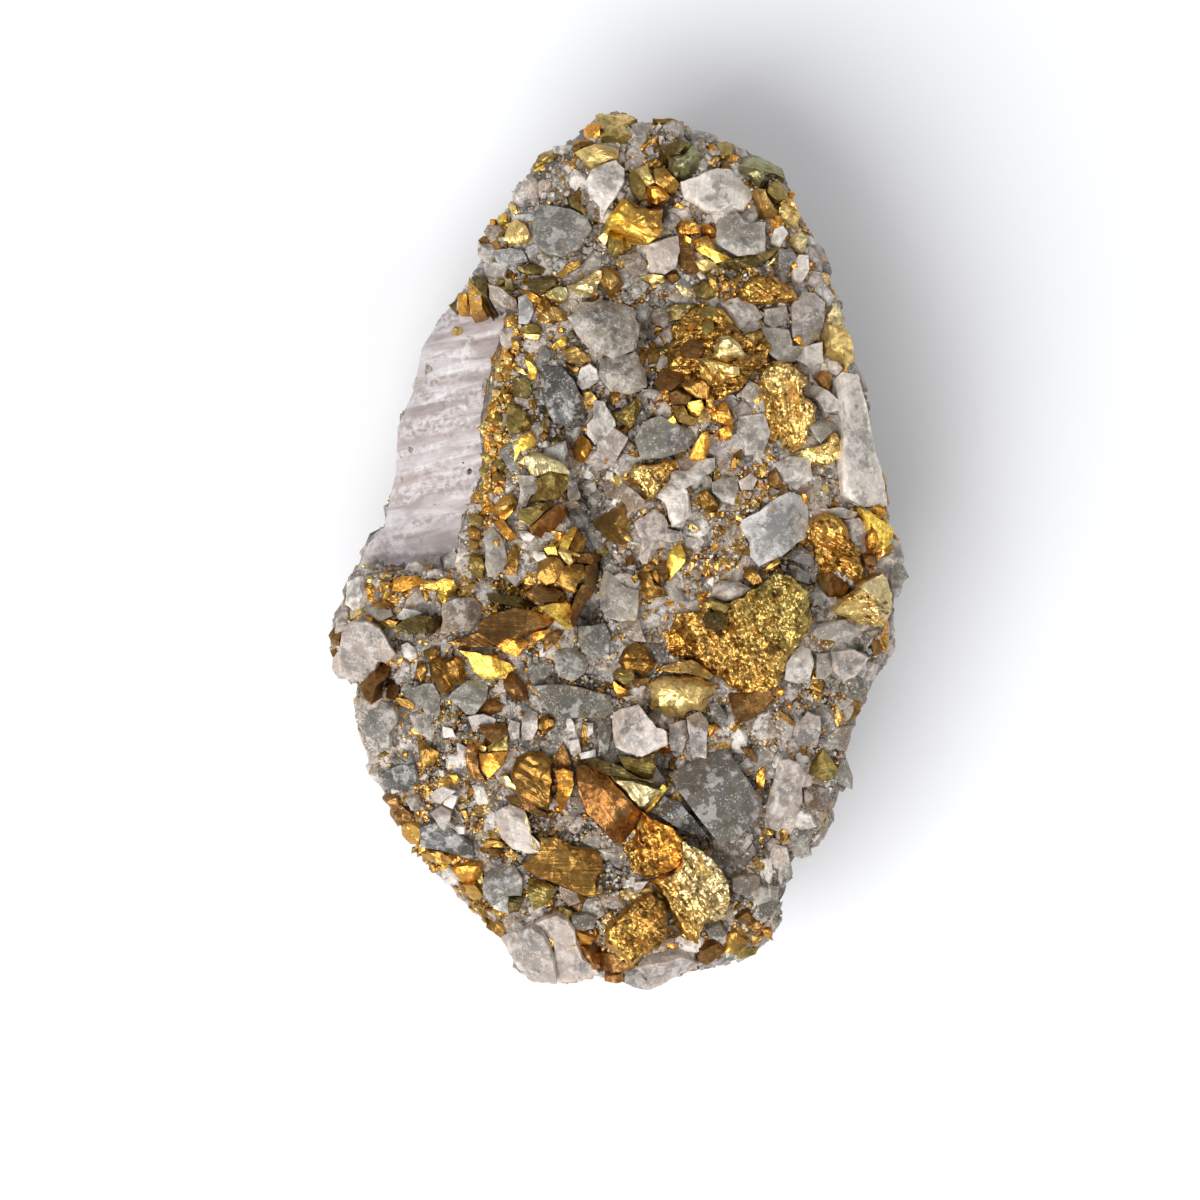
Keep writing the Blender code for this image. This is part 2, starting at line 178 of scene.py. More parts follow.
def slab_height(x):
    """The tilted plane of the calcite slab: 21.2 mm at x = -12, and 0.3 mm more per mm."""
    return 21.2 + 0.30 * (x + 12.0)


def face_height(x, y):
    """Height of the crust: a dome over the outline, less one bell-shaped hollow per row, and
    stepped down on the left to the tilted plane of the calcite slab."""
    share = np.hypot(x, y) / outline_reach(np.arctan2(y, x))
    crust = EDGE_HEIGHT + DOME * (1.0 - share * share)
    for px, py, depth, radius in HOLLOWS:
        crust = crust - depth * np.exp(-((x - px) ** 2 + (y - py) ** 2) / radius ** 2)
    inside = smooth_step((np.interp(y, SLAB_BORDER_Y, SLAB_BORDER_X) - x) / SLAB_STEP)
    inside = inside * smooth_step((y - SLAB_LOW_Y) / SLAB_STEP)
    inside = inside * smooth_step((SLAB_HIGH_Y - y) / SLAB_STEP)
    return crust + (np.minimum(slab_height(x), crust) - crust) * inside


def ground_height(x, y):
    """Height of the crust with its rounded rim: from RIM_START outwards the height drops by
    RIM_DROP (1 - cos t), where sin t is how far through the rim the place is."""
    share = np.hypot(x, y) / outline_reach(np.arctan2(y, x))
    swing = np.clip((share - RIM_START) / 0.07, 0.0, 0.97)
    return face_height(x, y) - RIM_DROP * (1.0 - np.sqrt(1.0 - swing * swing))


def broken_reach(angles, height):
    """Reach of the flank: the outline, cut back by leaning planes. Each plane's reach is its
    distance at that height divided by the cosine of the angle away from its facing."""
    reach = outline_reach(angles)
    for facing, underhang, level in BREAKS:
        facing, underhang = np.radians(facing), np.radians(underhang)
        outermost = np.max(OUTLINE @ np.array([math.cos(facing), math.sin(facing)]))
        run = outermost + (height - level) * math.tan(underhang)
        turned = np.cos(angles - facing)
        cut = run / np.maximum(turned, LEAST_COSINE)
        reach = np.minimum(reach, np.where(turned > LEAST_COSINE, cut, np.inf))
    return reach


print("outline reach to the right:", outline_reach(np.zeros(1)), "crust height in the middle:",
      face_height(np.zeros(1), np.zeros(1)))

# %% [markdown]
# ## From grids to closed meshes
# Every surface here is a stack of rings between two poles, like the lines of latitude on a
# globe. The rings are joined with triangles, and the poles close the two ends, so no shell
# has a hole. A batch gathers many such shells and turns them into one Blender mesh, with two
# values stored at each point: its tint, and its lay, which is where the point sits along and
# across the growth lines.

# %% Joining rings


def globe_triangles(shells, rows, around):
    """Triangles of shells with rows rings of around points. The points of one shell are its
    rings in order, then the first pole and the last pole. Ring r joins ring r + 1."""
    here = np.arange(around)
    after = (here + 1) % around
    base = np.arange(rows - 1)[:, None] * around
    a, b = base + here, base + after
    sides = np.concatenate([
        np.stack([a, b, b + around], -1).reshape(-1, 3),
        np.stack([a, b + around, a + around], -1).reshape(-1, 3),
    ])
    first, last = rows * around, rows * around + 1
    top = np.stack([np.full(around, first), after, here], -1)
    low = (rows - 1) * around
    bottom = np.stack([np.full(around, last), low + here, low + after], -1)
    one = np.concatenate([sides, top, bottom])[:, ::-1]
    step = rows * around + 2
    return (one[None] + np.arange(shells)[:, None, None] * step).reshape(-1, 3)


class Batch:
    """Closed shells that become one piece."""

    def __init__(self):
        self.points, self.triangles, self.tints, self.lays = [], [], [], []
        self.count = 0

    def add(self, rings, first, last, tint, lay):
        """rings (shells, rows, around, 3) in mm from the first pole to the last. tint and lay
        are given for every point, poles last, as (shells, points, 3)."""
        shells, rows, around = rings.shape[:3]
        poles = [first[:, None], last[:, None]]
        points = np.concatenate([rings.reshape(shells, -1, 3), *poles], axis=1)
        self.points.append(points.reshape(-1, 3))
        self.triangles.append(globe_triangles(shells, rows, around) + self.count)
        self.tints.append(tint.reshape(-1, 3))
        self.lays.append(lay.reshape(-1, 3))
        self.count += points.shape[0] * points.shape[1]

    def piece(self, name, finish, slot, crease=28.0):
        """One object of all shells: smooth within faces, sharp where they meet by more than
        crease degrees."""
        points = np.concatenate(self.points) * MM
        triangles = np.concatenate(self.triangles)
        mesh = bpy.data.meshes.new(name)
        mesh.vertices.add(len(points))
        mesh.vertices.foreach_set("co", points.astype(np.float32).ravel())
        mesh.loops.add(triangles.size)
        mesh.loops.foreach_set("vertex_index", triangles.astype(np.int32).ravel())
        mesh.polygons.add(len(triangles))
        mesh.polygons.foreach_set("loop_start", np.arange(0, triangles.size, 3, dtype=np.int32))
        mesh.update(calc_edges=True)
        tint = mesh.attributes.new("tint", "FLOAT_COLOR", "POINT")
        rgba = np.concatenate([np.concatenate(self.tints), np.ones((len(points), 1))], axis=1)
        tint.data.foreach_set("color", rgba.astype(np.float32).ravel())
        lay = mesh.attributes.new("lay", "FLOAT_VECTOR", "POINT")
        lay.data.foreach_set("vector", np.concatenate(self.lays).astype(np.float32).ravel())
        mesh.shade_smooth()
        mesh.set_sharp_from_angle(angle=math.radians(crease))
        mesh.materials.append(finish)
        item = bpy.data.objects.new(name, mesh)
        bpy.context.scene.collection.objects.link(item)
        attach(item, "root")
        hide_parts("chalcopyrite_specimen")
        print(f"{name}: {len(triangles)} triangles")

# %% [markdown]
# ## Writing shader maths as plain expressions
# Blender builds a finish from nodes. Wired by hand that takes many lines, so one small class
# wraps a socket and lets Python's own operators add the Math nodes: `1 - mask * 0.5` is two
# nodes. Any other node comes from one function that takes its type, its settings and what goes
# into its sockets. Sizes are given in mm, and the finish is fixed to the object's own places.

# %% A socket that can be used in sums


class Wire:
    """The output of a node. Sums and products of wires add Math nodes to their tree."""

    def __init__(self, socket):
        self.socket = socket

    def math(self, operation, *terms):
        return add(self.socket.id_data, "ShaderNodeMath", {"operation": operation},
                   dict(enumerate(terms)))

    def __add__(self, other):
        return self.math("ADD", self, other)

    def __mul__(self, other):
        return self.math("MULTIPLY", self, other)

    def __sub__(self, other):
        return self.math("SUBTRACT", self, other)

    def __rsub__(self, other):
        return self.math("SUBTRACT", other, self)

    __radd__ = __add__
    __rmul__ = __mul__

    def stretched(self, low, high):
        """0 where this is low, 1 where it is high, with an even run between."""
        return add(self.socket.id_data, "ShaderNodeMapRange", {"interpolation_type": "SMOOTHSTEP"},
                   {"Value": self, "From Min": low, "From Max": high})

    def scaled(self, factors):
        """This vector or colour with each of its three numbers multiplied by one of factors."""
        return add(self.socket.id_data, "ShaderNodeVectorMath", {"operation": "MULTIPLY"},
                   {0: self, 1: factors})

    def brightened(self, share):
        """This colour times one wire or number."""
        return add(self.socket.id_data, "ShaderNodeVectorMath", {"operation": "SCALE"},
                   {0: self, "Scale": share})


def add(tree, kind, settings, sockets, output=0):
    """One node: settings first, then a link or a value for each named or numbered socket."""
    node = tree.nodes.new(kind)
    for name, value in settings.items():
        setattr(node, name, value)
    for name, value in sockets.items():
        if isinstance(value, Wire):
            tree.links.new(value.socket, node.inputs[name])
        else:
            node.inputs[name].default_value = value
    return Wire(node.outputs[output])


def linear(red, green, blue):
    """A colour read by eye on a 0 to 255 screen scale, as the light it stands for."""
    return tuple(np.round((np.array((red, green, blue)) / 255.0) ** 2.2, 4))


print("brass yellow as light:", linear(250, 190, 60))

# %% [markdown]
# ## Blends, clouds and cells
# Most of a mineral's look is a few patterns on top of each other: soft clouds of tarnish,
# cells of crystal grains, and fine lines where a crystal grew in steps. These helpers make
# them from noise at a size in mm, and lay one colour over another by a mask. The relief of a
# broken grain comes from cells too: each cell is a tiny plane that leans its own way.

# %% Patterns in mm


def blend(share, below, above):
    """Colour below where share is 0 and colour above where it is 1."""
    tree = (share if isinstance(share, Wire) else below).socket.id_data
    colours = {}
    for place, colour in ((6, below), (7, above)):
        colours[place] = colour if isinstance(colour, Wire) else (*colour, 1.0)
    return add(tree, "ShaderNodeMix", {"data_type": "RGBA", "clamp_factor": True},
               {0: share, **colours}, 2)


def cloud(place, size, roughness=0.55, distortion=0.0):
    """Noise from 0 to 1 with bumps of size mm, for places in metres."""
    return add(place.socket.id_data, "ShaderNodeTexNoise", {},
               {"Vector": place, "Scale": 1000.0 / size, "Roughness": roughness,
                "Distortion": distortion})


def streaks(lay, factors, roughness, distortion):
    """Noise from 0 to 1 on the lay, which is in mm. factors say how many bumps there are in a
    mm along the growth lines, across them, and from one crystal to the next."""
    return cloud(lay.scaled(factors), 1000.0, roughness, distortion)


def cells(place, size):
    """A random colour for each crystal-like cell of size mm."""
    return add(place.socket.id_data, "ShaderNodeTexVoronoi", {},
               {"Vector": place, "Scale": 1000.0 / size}, 1)


def wavy(place, scale):
    """place moved by up to 0.6 mm by noise of a scale in bumps per metre, which makes the
    borders of cells uneven."""
    tree = place.socket.id_data
    sway = add(tree, "ShaderNodeTexNoise", {}, {"Vector": place, "Scale": scale}, 1)
    return add(tree, "ShaderNodeVectorMath", {"operation": "MULTIPLY_ADD"},
               {0: sway, 1: (0.6 * MM, 0.6 * MM, 0.6 * MM), 2: place})


def crumpled(place, size):
    """Relief in mm of tiny facets: cells of size mm, each a plane that leans its own way. It
    is the way from the cell's seed times the cell's random colour less one half. Returns the
    relief and a random number for each cell."""
    tree = place.socket.id_data
    tone = cells(place, size)
    seed = Wire(tone.socket.node.outputs["Position"])
    away = add(tree, "ShaderNodeVectorMath", {"operation": "SUBTRACT"}, {0: place, 1: seed})
    lean = add(tree, "ShaderNodeVectorMath", {"operation": "SUBTRACT"},
               {0: tone, 1: (0.5, 0.5, 0.5)})
    relief = add(tree, "ShaderNodeVectorMath", {"operation": "DOT_PRODUCT"},
                 {0: away, 1: lean}, 1)
    return relief * 1000.0, first_number(tone)


def first_number(colour):
    """The red part of a colour as a value, for a random number per cell."""
    return add(colour.socket.id_data, "ShaderNodeSeparateColor", {}, {0: colour}, 0)


def finish_for(name, roughness=0.5, **constants):
    """New finish with a Principled shader. Returns it with its tree, shader, place, tint, lay."""
    finish = bpy.data.materials.new(name)
    finish.use_nodes = True
    tree = finish.node_tree
    shader = tree.nodes["Principled BSDF"]
    shader.inputs["Roughness"].default_value = roughness
    for socket, value in constants.items():
        shader.inputs[socket.replace("_", " ")].default_value = value
    place = add(tree, "ShaderNodeTexCoord", {}, {}, 3)
    tint = add(tree, "ShaderNodeAttribute", {"attribute_name": "tint"}, {}, 0)
    lay = add(tree, "ShaderNodeAttribute", {"attribute_name": "lay"}, {}, 1)
    return finish, tree, shader, place, tint, lay


def wire_up(tree, shader, height=None, **sockets):
    """Link wires to the shader. height is the relief of the surface in mm."""
    for name, wire in sockets.items():
        tree.links.new(wire.socket, shader.inputs[name.replace("_", " ")])
    if height is not None:
        bump = add(tree, "ShaderNodeBump", {}, {"Strength": 1.0, "Distance": MM, "Height": height})
        tree.links.new(bump.socket, shader.inputs["Normal"])


# %% [markdown]
# ## Chalcopyrite
# Fresh chalcopyrite is a metal-bright brass yellow. Where air reached it, a film some
# wavelengths thick turns it orange, copper, olive or a faint teal, in clouds that stop at a
# facet's edge. Growth lines run along each crystal. The tint of the crystal comes from the
# mesh, with its painted highlight and shade, the clouds from noise in space, and the lines
# from noise squeezed along the lay. The low places of the relief get painted shade.

# %% Brass finish


def brass_finish(name, lines_mm=0.07, wide=0.24, close=0.22, polish=0.24, facet=1.3, valleys=0.4):
    """Metal tinted by the crystal, with orange, olive and teal tarnish and brown specks.
    Growth lines are lines_mm deep. Tiny facets of size facet lean by wide, and those a third
    as large by close, as shares of a half. polish is the least roughness, and valleys says
    how much painted shade browns the low places of the relief; it also deepens them a little."""
    finish, tree, shader, place, tint, lay = finish_for(name)
    broad = cloud(place, 3.2)
    small = cloud(place, 0.7, 0.6)
    bent = wavy(place, 900.0)
    wide_relief, wide_tone = crumpled(bent, facet)
    close_relief, close_tone = crumpled(bent, 0.33 * facet)
    lines = streaks(lay, (0.22, 3.2, 1.0), 0.6, 0.3)
    fine = streaks(lay, (0.5, 9.0, 1.0), 0.5, 0.2)
    mottle = 0.25 + wide
    shade = 0.66 - 0.08 * wide + small * 0.22 + lines * 0.30
    shade = shade + (wide_tone * 0.36 + close_tone * 0.26) * mottle
    colour = tint.brightened(shade)
    orange = small.stretched(0.50, 0.72) * broad.stretched(0.45, 0.62)
    colour = blend(orange * 0.35, colour, linear(206, 136, 52))
    olive = (cloud(place, 1.8, 0.6, 0.6) + wide_tone * 0.10).stretched(0.54, 0.76)
    colour = blend(olive * 0.40, colour, linear(124, 106, 60))
    teal = cloud(place, 2.1).stretched(0.62, 0.74)
    colour = blend(teal * 0.30, colour, linear(96, 110, 82))
    # painted shade: the low places of the relief, where small and lines are low, are blended towards dark
    # brown by valleys
    low = (1.0 - small).stretched(0.50, 0.62) * (1.0 - lines).stretched(0.35, 0.60)
    colour = blend(low * valleys, colour, linear(84, 62, 34))
    specks = (cloud(place, 0.24, 0.7) + close_tone * 0.04).stretched(0.66, 0.76)
    colour = blend(specks * 0.6, colour, linear(70, 56, 38))
    height = lines * lines_mm + fine * (0.3 * lines_mm) + small * (0.05 + 0.2 * valleys * wide)
    height = height + wide_relief * wide + close_relief * close
    wire_up(tree, shader, height, Base_Color=colour,
            Roughness=polish + small * 0.14 + specks * 0.3 + close_tone * 0.08 + low * 0.1,
            Metallic=0.97 - specks * 0.55)
    return finish


# %% [markdown]
# ## Calcite and quartz
# The pale mineral is milky: white to pinkish and lilac, cloudy inside, with silky cleavage
# faces that show fine parallel steps, snow-white patches, smoky grey depths, and rust that
# crept in along cracks. A golden speck sits in it here and there. A thin clear coat stands
# for the glassy skin over the cloudy inside. Where the mineral is sugary the coat fades out,
# and the grains stand out in light, dark and relief.

# %% Calcite finish


def calcite_finish(name, roughness=0.30, rust=0.30, sugar=0.0):
    """Cloudy stone tinted by the crystal, with faint cleavage steps along and across, white
    where it is bruised, grey depths, painted shade in the pits of its relief, rust and golden
    specks. sugar from 0 to 1 adds light and dark grains and relief, deepens the painted shade
    in the pits, and takes the coat away."""
    finish, tree, shader, place, tint, lay = finish_for(
        name, roughness, Coat_Weight=0.45 * (1.0 - sugar), Coat_Roughness=0.16, IOR=1.6,
        Subsurface_Weight=0.30, Subsurface_Scale=0.6 * MM, Subsurface_Radius=(1.0, 0.9, 0.85))
    broad = cloud(place, 3.0)
    small = cloud(place, 0.8, 0.62, 0.4)
    grain = cloud(place, 0.17, 0.6)
    steps = streaks(lay, (0.30, 1.7, 1.0), 0.65, 0.6)
    cross = streaks(lay, (1.3, 0.35, 1.0), 0.65, 0.6)
    relief, tone = crumpled(place, 0.42)
    shade = 0.52 + broad * 0.28 + small * 0.34 + steps * 0.20 + tone * (0.06 + 0.24 * sugar)
    colour = tint.brightened(shade)
    smoky = (1.0 - broad * 0.6 - small * 0.4).stretched(0.49, 0.60)
    colour = blend(smoky * 0.55, colour, linear(96, 93, 90))
    colour = colour.brightened(0.97 + steps.stretched(0.50, 0.72) * 0.30)
    colour = colour.brightened(1.0 - (1.0 - cross).stretched(0.54, 0.72) * 0.18)
    bruise = grain.stretched(0.54, 0.68) * small.stretched(0.40, 0.60)
    colour = blend(bruise * (0.55 + 0.2 * sugar), colour, linear(238, 232, 226))
    snow = cloud(place, 1.7, 0.75).stretched(0.55, 0.62)
    colour = blend(snow * 0.35, colour, linear(226, 219, 212))
    # painted shade: the low places of the fine relief are blended darker
    pit_shade = (1.0 - grain).stretched(0.56, 0.70) * (1.0 - small).stretched(0.42, 0.62)
    colour = blend(pit_shade * (0.20 + 0.5 * sugar), colour, linear(84, 78, 70))
    stain = cloud(place, 0.5, 0.6).stretched(0.56, 0.68)
    stain = stain * cloud(place, 2.6).stretched(0.52, 0.64)
    colour = blend(stain * rust, colour, linear(146, 106, 60))
    speck = cloud(place, 0.42, 0.5).stretched(0.68, 0.71)
    speck = speck * cloud(place, 3.1).stretched(0.50, 0.58)
    colour = blend(speck, colour, linear(196, 148, 68))
    height = steps * 0.06 + small * 0.05 + grain * (0.02 + 0.06 * sugar)
    height = height + relief * (0.06 + 0.34 * sugar)
    wire_up(tree, shader, height, Base_Color=colour, Metallic=speck * 0.85,
            Roughness=roughness - 0.08 + small * 0.22 + bruise * 0.2)
    return finish


BRASS = brass_finish("brassy chalcopyrite")
FOIL = brass_finish("crumpled chalcopyrite", 0.10, 0.85, 0.72, 0.20, 0.95, 0.85)
GRAIN_BRASS = brass_finish("brassy grains", 0.03, 0.4, 0.4, 0.24, 0.9, 0.5)
CALCITE = calcite_finish("milky calcite", sugar=0.25)
SUGAR = calcite_finish("sugary calcite", 0.48, 0.45, 1.0)
print("finishes:", [finish.name for finish in bpy.data.materials])

# %% [markdown]
# ## The bed of fine crystals, and the broken flank
# Between the big crystals the rock is a crust of grains from a grain of salt to a lentil:
# gold, brown, grey and white side by side. The broken flank and back are pale vein calcite
# with patches of ore, duller because nothing there is a grown face. Cells give each grain its
# own colour, a ramp of minerals turns a random number into one of them, and the mesh says
# where the face ends and the break begins.

# %% Druse finish


def mineral_ramp(value, stops):
    """Colour steps: each mineral takes the share of values up to the next stop."""
    wire = add(value.socket.id_data, "ShaderNodeValToRGB", {}, {"Fac": value})
    ramp = wire.socket.node.color_ramp
    ramp.interpolation = "CONSTANT"
    for place, colour in stops[2:]:
        ramp.elements.new(place)
    for element, (place, colour) in zip(ramp.elements, stops):
        element.position = place
        element.color = (*colour, 1.0)
    return wire


BREAK_MINERALS = (
    (0.00, linear(190, 178, 170)), (0.30, linear(170, 160, 153)), (0.55, linear(206, 196, 188)),
    (0.74, linear(152, 143, 134)), (0.87, linear(172, 134, 70)), (0.94, linear(124, 106, 76)),
)


def druse_finish(name):
    """On the crystal face, grey-lilac stone with blue-grey and brown clouds, white sugar and
    a few brassy grains; on the break, cells of the break's minerals. The tint's first number
    says where the crystal face is, and its second number how deep the place lies, which
    darkens it as painted shade."""
    finish, tree, shader, place, tint, lay = finish_for(name, 0.5)
    bent = wavy(place, 1400.0)
    pick = first_number(cells(bent, 0.34))
    wide = first_number(cells(bent, 2.1))
    small = cloud(place, 0.35, 0.6)
    grain = cloud(place, 0.15, 0.6)
    broad = cloud(place, 3.5)
    patch = cloud(place, 1.6, 0.6)
    on_face = add(tree, "ShaderNodeSeparateColor", {}, {0: tint}, 0)
    depth = add(tree, "ShaderNodeSeparateColor", {}, {0: tint}, 1)
    face = blend(broad.stretched(0.40, 0.60), linear(122, 110, 98), linear(108, 105, 100))
    face = blend(patch.stretched(0.50, 0.62) * 0.85, face, linear(104, 80, 52))
    face = blend(pick.stretched(0.72, 0.84) * 0.55, face, linear(196, 186, 176))
    face = blend((1.0 - pick).stretched(0.76, 0.88) * 0.6, face, linear(62, 57, 53))
    mixed = wide * 0.40 + broad.stretched(0.3, 0.7) * 0.42 + pick * 0.18
    rock = mineral_ramp(mixed, BREAK_MINERALS)
    colour = blend(on_face, rock, face)
    colour = colour.brightened(0.60 + small * 0.45 + grain * 0.25)
    # painted shade: the deeper a place on the face lies, the more it is blended towards dark grey-brown
    colour = blend(depth * 0.70, colour, linear(62, 56, 50))
    metal = pick.stretched(0.50, 0.52) * (1.0 - pick.stretched(0.58, 0.60))
    metal = metal * patch.stretched(0.46, 0.56)
    colour = blend(metal, colour, linear(204, 156, 70))
    relief, _ = crumpled(place, 0.55)
    broken, _ = crumpled(place, 2.4)
    height = small * 0.14 + relief * 0.40 + broken * (0.5 - 0.4 * on_face)
    wire_up(tree, shader, height, Base_Color=colour, Metallic=metal * 0.85,
            Roughness=0.60 - metal * 0.3 + small * 0.1)
    return finish


DRUSE = druse_finish("fine crystal crust")
print("minerals on the break:", len(BREAK_MINERALS))

# %% [markdown]
# ## The rock shell
# This is the body of the specimen: one closed surface that runs from the middle of the
# crystal face out over a rounded rim, down the broken flank and in to the middle of the flat
# back. It could be sculpted, but a grid of angle and path is easier to keep to the frame's
# solid. Noise roughens it: a grainy crust on the face and coarser hackly breaks on the flank.

# %% Shell from the middle of the face to the middle of the back
POLE_SHARE = 0.004  # of the outline, where the first and the last ring lie
MOST_OUT = 0.5  # how far noise may push the flank out, in mm


def rock_shell(around=384, face_rows=120, rim_rows=14, flank_rows=44, back_rows=28):
    """Point = (angle, path). On the face the share of the outline grows from almost 0 to
    RIM_START and the height is the crust height. On the rim, for t from 0 to 90 degrees,
    share = RIM_START + 0.07 sin t and drop = RIM_DROP (1 - cos t). On the flank the share
    follows a table of heights, cut back by the breaks. On the back the height is 0 and the
    share shrinks to almost 0. Noise is then added to every point. Returns the points, how
    much each belongs to the face, and how deep it lies."""
    angles = np.arange(around) * 2.0 * math.pi / around
    reach = outline_reach(angles)
    cosine, sine = np.cos(angles), np.sin(angles)
    share = np.linspace(POLE_SHARE, RIM_START, face_rows)[:, None]
    run_face = share * reach
    high_face = face_height(run_face * cosine, run_face * sine)
    edge = face_height(reach * cosine, reach * sine)
    swing = np.linspace(0.0, math.pi / 2.0, rim_rows + 1)[1:, None]
    run_rim = (RIM_START + 0.07 * np.sin(swing)) * reach
    high_rim = high_face[-1] + (edge - high_face[-1]) * np.sin(swing)
    high_rim = high_rim - RIM_DROP * (1.0 - np.cos(swing))
    level = np.linspace(1.0, 0.0, flank_rows + 1)[1:, None] ** 1.15
    high_flank = level * high_rim[-1]
    run_flank = np.minimum(np.interp(high_flank, FLANK_HEIGHT, FLANK_SHARE) * reach,
                           broken_reach(angles, high_flank))
    run_back = run_flank[-1] * np.linspace(1.0, POLE_SHARE, back_rows + 1)[1:, None]
    run = np.concatenate([run_face, run_rim, run_flank, run_back])
    high = np.concatenate([high_face, high_rim, high_flank, np.zeros_like(run_back)])
    points = np.stack([run * cosine, run * sine, high], -1)
    row = np.arange(len(run))[:, None] * np.ones(around)
    on_face = 1.0 - smooth_step((row - face_rows) / (rim_rows * 1.6))
    on_back = smooth_step((row - (len(run) - back_rows - 4)) / 4.0)
    grainy = layered(points, 1.5, 11, 3) * 0.42 + layered(points, 4.2, 15, 2) * 0.35
    hackly = layered(points, 5.2, 21, 2) * 0.75 + layered(points, 1.3, 25, 3) * 0.30
    steps = np.round(layered(points, 7.0, 31, 2) * 3.0) / 3.0 * 0.7
    every = np.ones_like(run)
    out = np.stack([cosine * every, sine * every, 0.0 * every], -1)
    up = np.array([0.0, 0.0, 1.0])
    points = points + up * (on_face * grainy)[..., None]
    sideways = (1.0 - on_face) * (1.0 - on_back) * (hackly + steps - 0.6)
    points = points + out * np.minimum(sideways, MOST_OUT)[..., None]
    points = points + up * (on_back * np.abs(hackly) * 0.35)[..., None]
    points[..., 2] = np.maximum(points[..., 2], 0.0)
    # how far below the crust's edge a face point lies; the druse finish paints shade there from it
    deep = smooth_step((EDGE_HEIGHT + 1.0 - points[..., 2]) / 4.0) * on_face
    return points, on_face, deep


ROCK_POINTS, on_face, deep = rock_shell()
first, last = ROCK_POINTS[0].mean(axis=0), ROCK_POINTS[-1].mean(axis=0)
tint = np.stack([on_face ** 4, deep, np.zeros_like(deep)], -1).reshape(1, -1, 3)
poles = np.array([[[1.0, 0.0, 0.0], [0.0, 0.0, 0.0]]])
lay = np.concatenate([ROCK_POINTS.reshape(1, -1, 3), first[None, None], last[None, None]], axis=1)
shell = Batch()
shell.add(ROCK_POINTS[None], first[None], last[None], np.concatenate([tint, poles], axis=1), lay)
shell.piece("rock_shell", DRUSE, "matrix", 40.0)

# %% [markdown]
# ## One crystal from its outline
# Each larger crystal is read from the front: the corners of its outline, its tone, its form
# and how far it rises. A crystal that stands in a crust shows a flat or pointed top and steep
# sides, so it is a stack of rings that follow the outline's corners: out from the middle of
# the top to a sharp edge, over a narrow bevel, and down into the crust. Facets that face the
# lamp look bright and the others dark, so a tone also says which way the top leans, and its
# colour is painted lighter or darker to match: painted highlight and painted shade. Two
# neighbours of opposite tone meet in a ridge, as they do on the real one. A table gives one
# crystal per row, and a line that starts with a space goes on with the row above it.

# %% Tones and the way they lean
TONES = {
    # tone: (colour, way the top faces in degrees, tilt in degrees). Of the metallic tones, bright,
    # pale and silver are brass painted lighter as a painted highlight of facets that face the lamp,
    # dark is brass painted darker as painted shade of facets turned away, and brown, bronze and
    # olive are tarnish that is partly painted shade in the same way
    "bright": (linear(255, 208, 94), 225, 24), "gold": (linear(190, 146, 76), 225, 18),
    "pale": (linear(232, 200, 128), 230, 22), "silver": (linear(220, 202, 150), 235, 24),
    "orange": (linear(214, 152, 68), 215, 20), "amber": (linear(150, 112, 58), 210, 13),
    "copper": (linear(142, 98, 56), 50, 12), "bronze": (linear(180, 144, 84), 60, 9),
    "rust": (linear(166, 120, 72), 40, 12), "brown": (linear(138, 102, 62), 45, 16),
    "olive": (linear(160, 138, 80), 45, 15), "dark": (linear(118, 104, 66), 45, 18),
    "teal": (linear(142, 140, 104), 60, 18),
    "white": (linear(206, 196, 184), 225, 7), "pink": (linear(184, 168, 155), 225, 8),
    "lilac": (linear(158, 144, 133), 230, 7), "grey": (linear(154, 144, 130), 60, 9),
    "blue": (linear(172, 168, 163), 230, 8), "quartz": (linear(122, 116, 105), 70, 11),
    "smoke": (linear(95, 87, 74), 60, 13), "tan": (linear(138, 118, 97), 60, 12),
    "umber": (linear(112, 86, 60), 60, 12), "slate": (linear(66, 63, 56), 60, 14),
}
BRASSY = "bright gold pale silver orange amber copper bronze rust brown olive dark teal".split()
STEP = 0.34  # length of a side of the crystals' mesh
FINE_STEP = 0.17  # the same for the rippled masses
BEVEL = 0.10
SUNK = 2.6  # how far below the crust a crystal's foot lies
LONGEST_FOOT = 3.2  # how far below the level of its edge it may lie
STEEPEST_CRUST = 0.8  # most that a crystal's level leans with the crust, as rise over run
ROUGHNESS = {"f": 0.04, "b": 0.06, "p": 0.07, "d": 0.16, "r": 0.14}
SECOND_FACETS = ((1, 0.75), (2, 0.55))  # number of the facet, and its steepness


def perimeter(corners, step):
    """Points round a polygon, each side cut into equal parts no longer than step, and the
    corners themselves always kept."""
    side = np.roll(corners, -1, axis=0) - corners
    parts = np.maximum(2, np.ceil(np.hypot(side[:, 0], side[:, 1]) / step)).astype(int)
    whole = np.repeat(np.arange(len(corners)), parts)
    start = np.concatenate([[0], np.cumsum(parts)[:-1]])
    share = (np.arange(parts.sum()) - start[whole]) / parts[whole]
    return corners[whole] + side[whole] * share[:, None]


def ripples(along, number):
    """Folds of 1.3, 0.8 and 0.3 mm: noise long along the lay and short across it, taken from
    a constant by its size, so that it has round backs and sharp valleys."""
    broad = noise(along * (0.12, 0.34, 1.0), 1.0, 20 + number)
    folds = noise(along * (0.16, 0.75, 1.0), 1.0, 40 + number)
    small = noise(along * (0.5, 2.2, 1.0), 1.0, 60 + number)
    return 1.3 * (0.4 - np.abs(broad)) + 0.8 * (0.5 - np.abs(folds)) + 0.3 * (0.5 - np.abs(small))


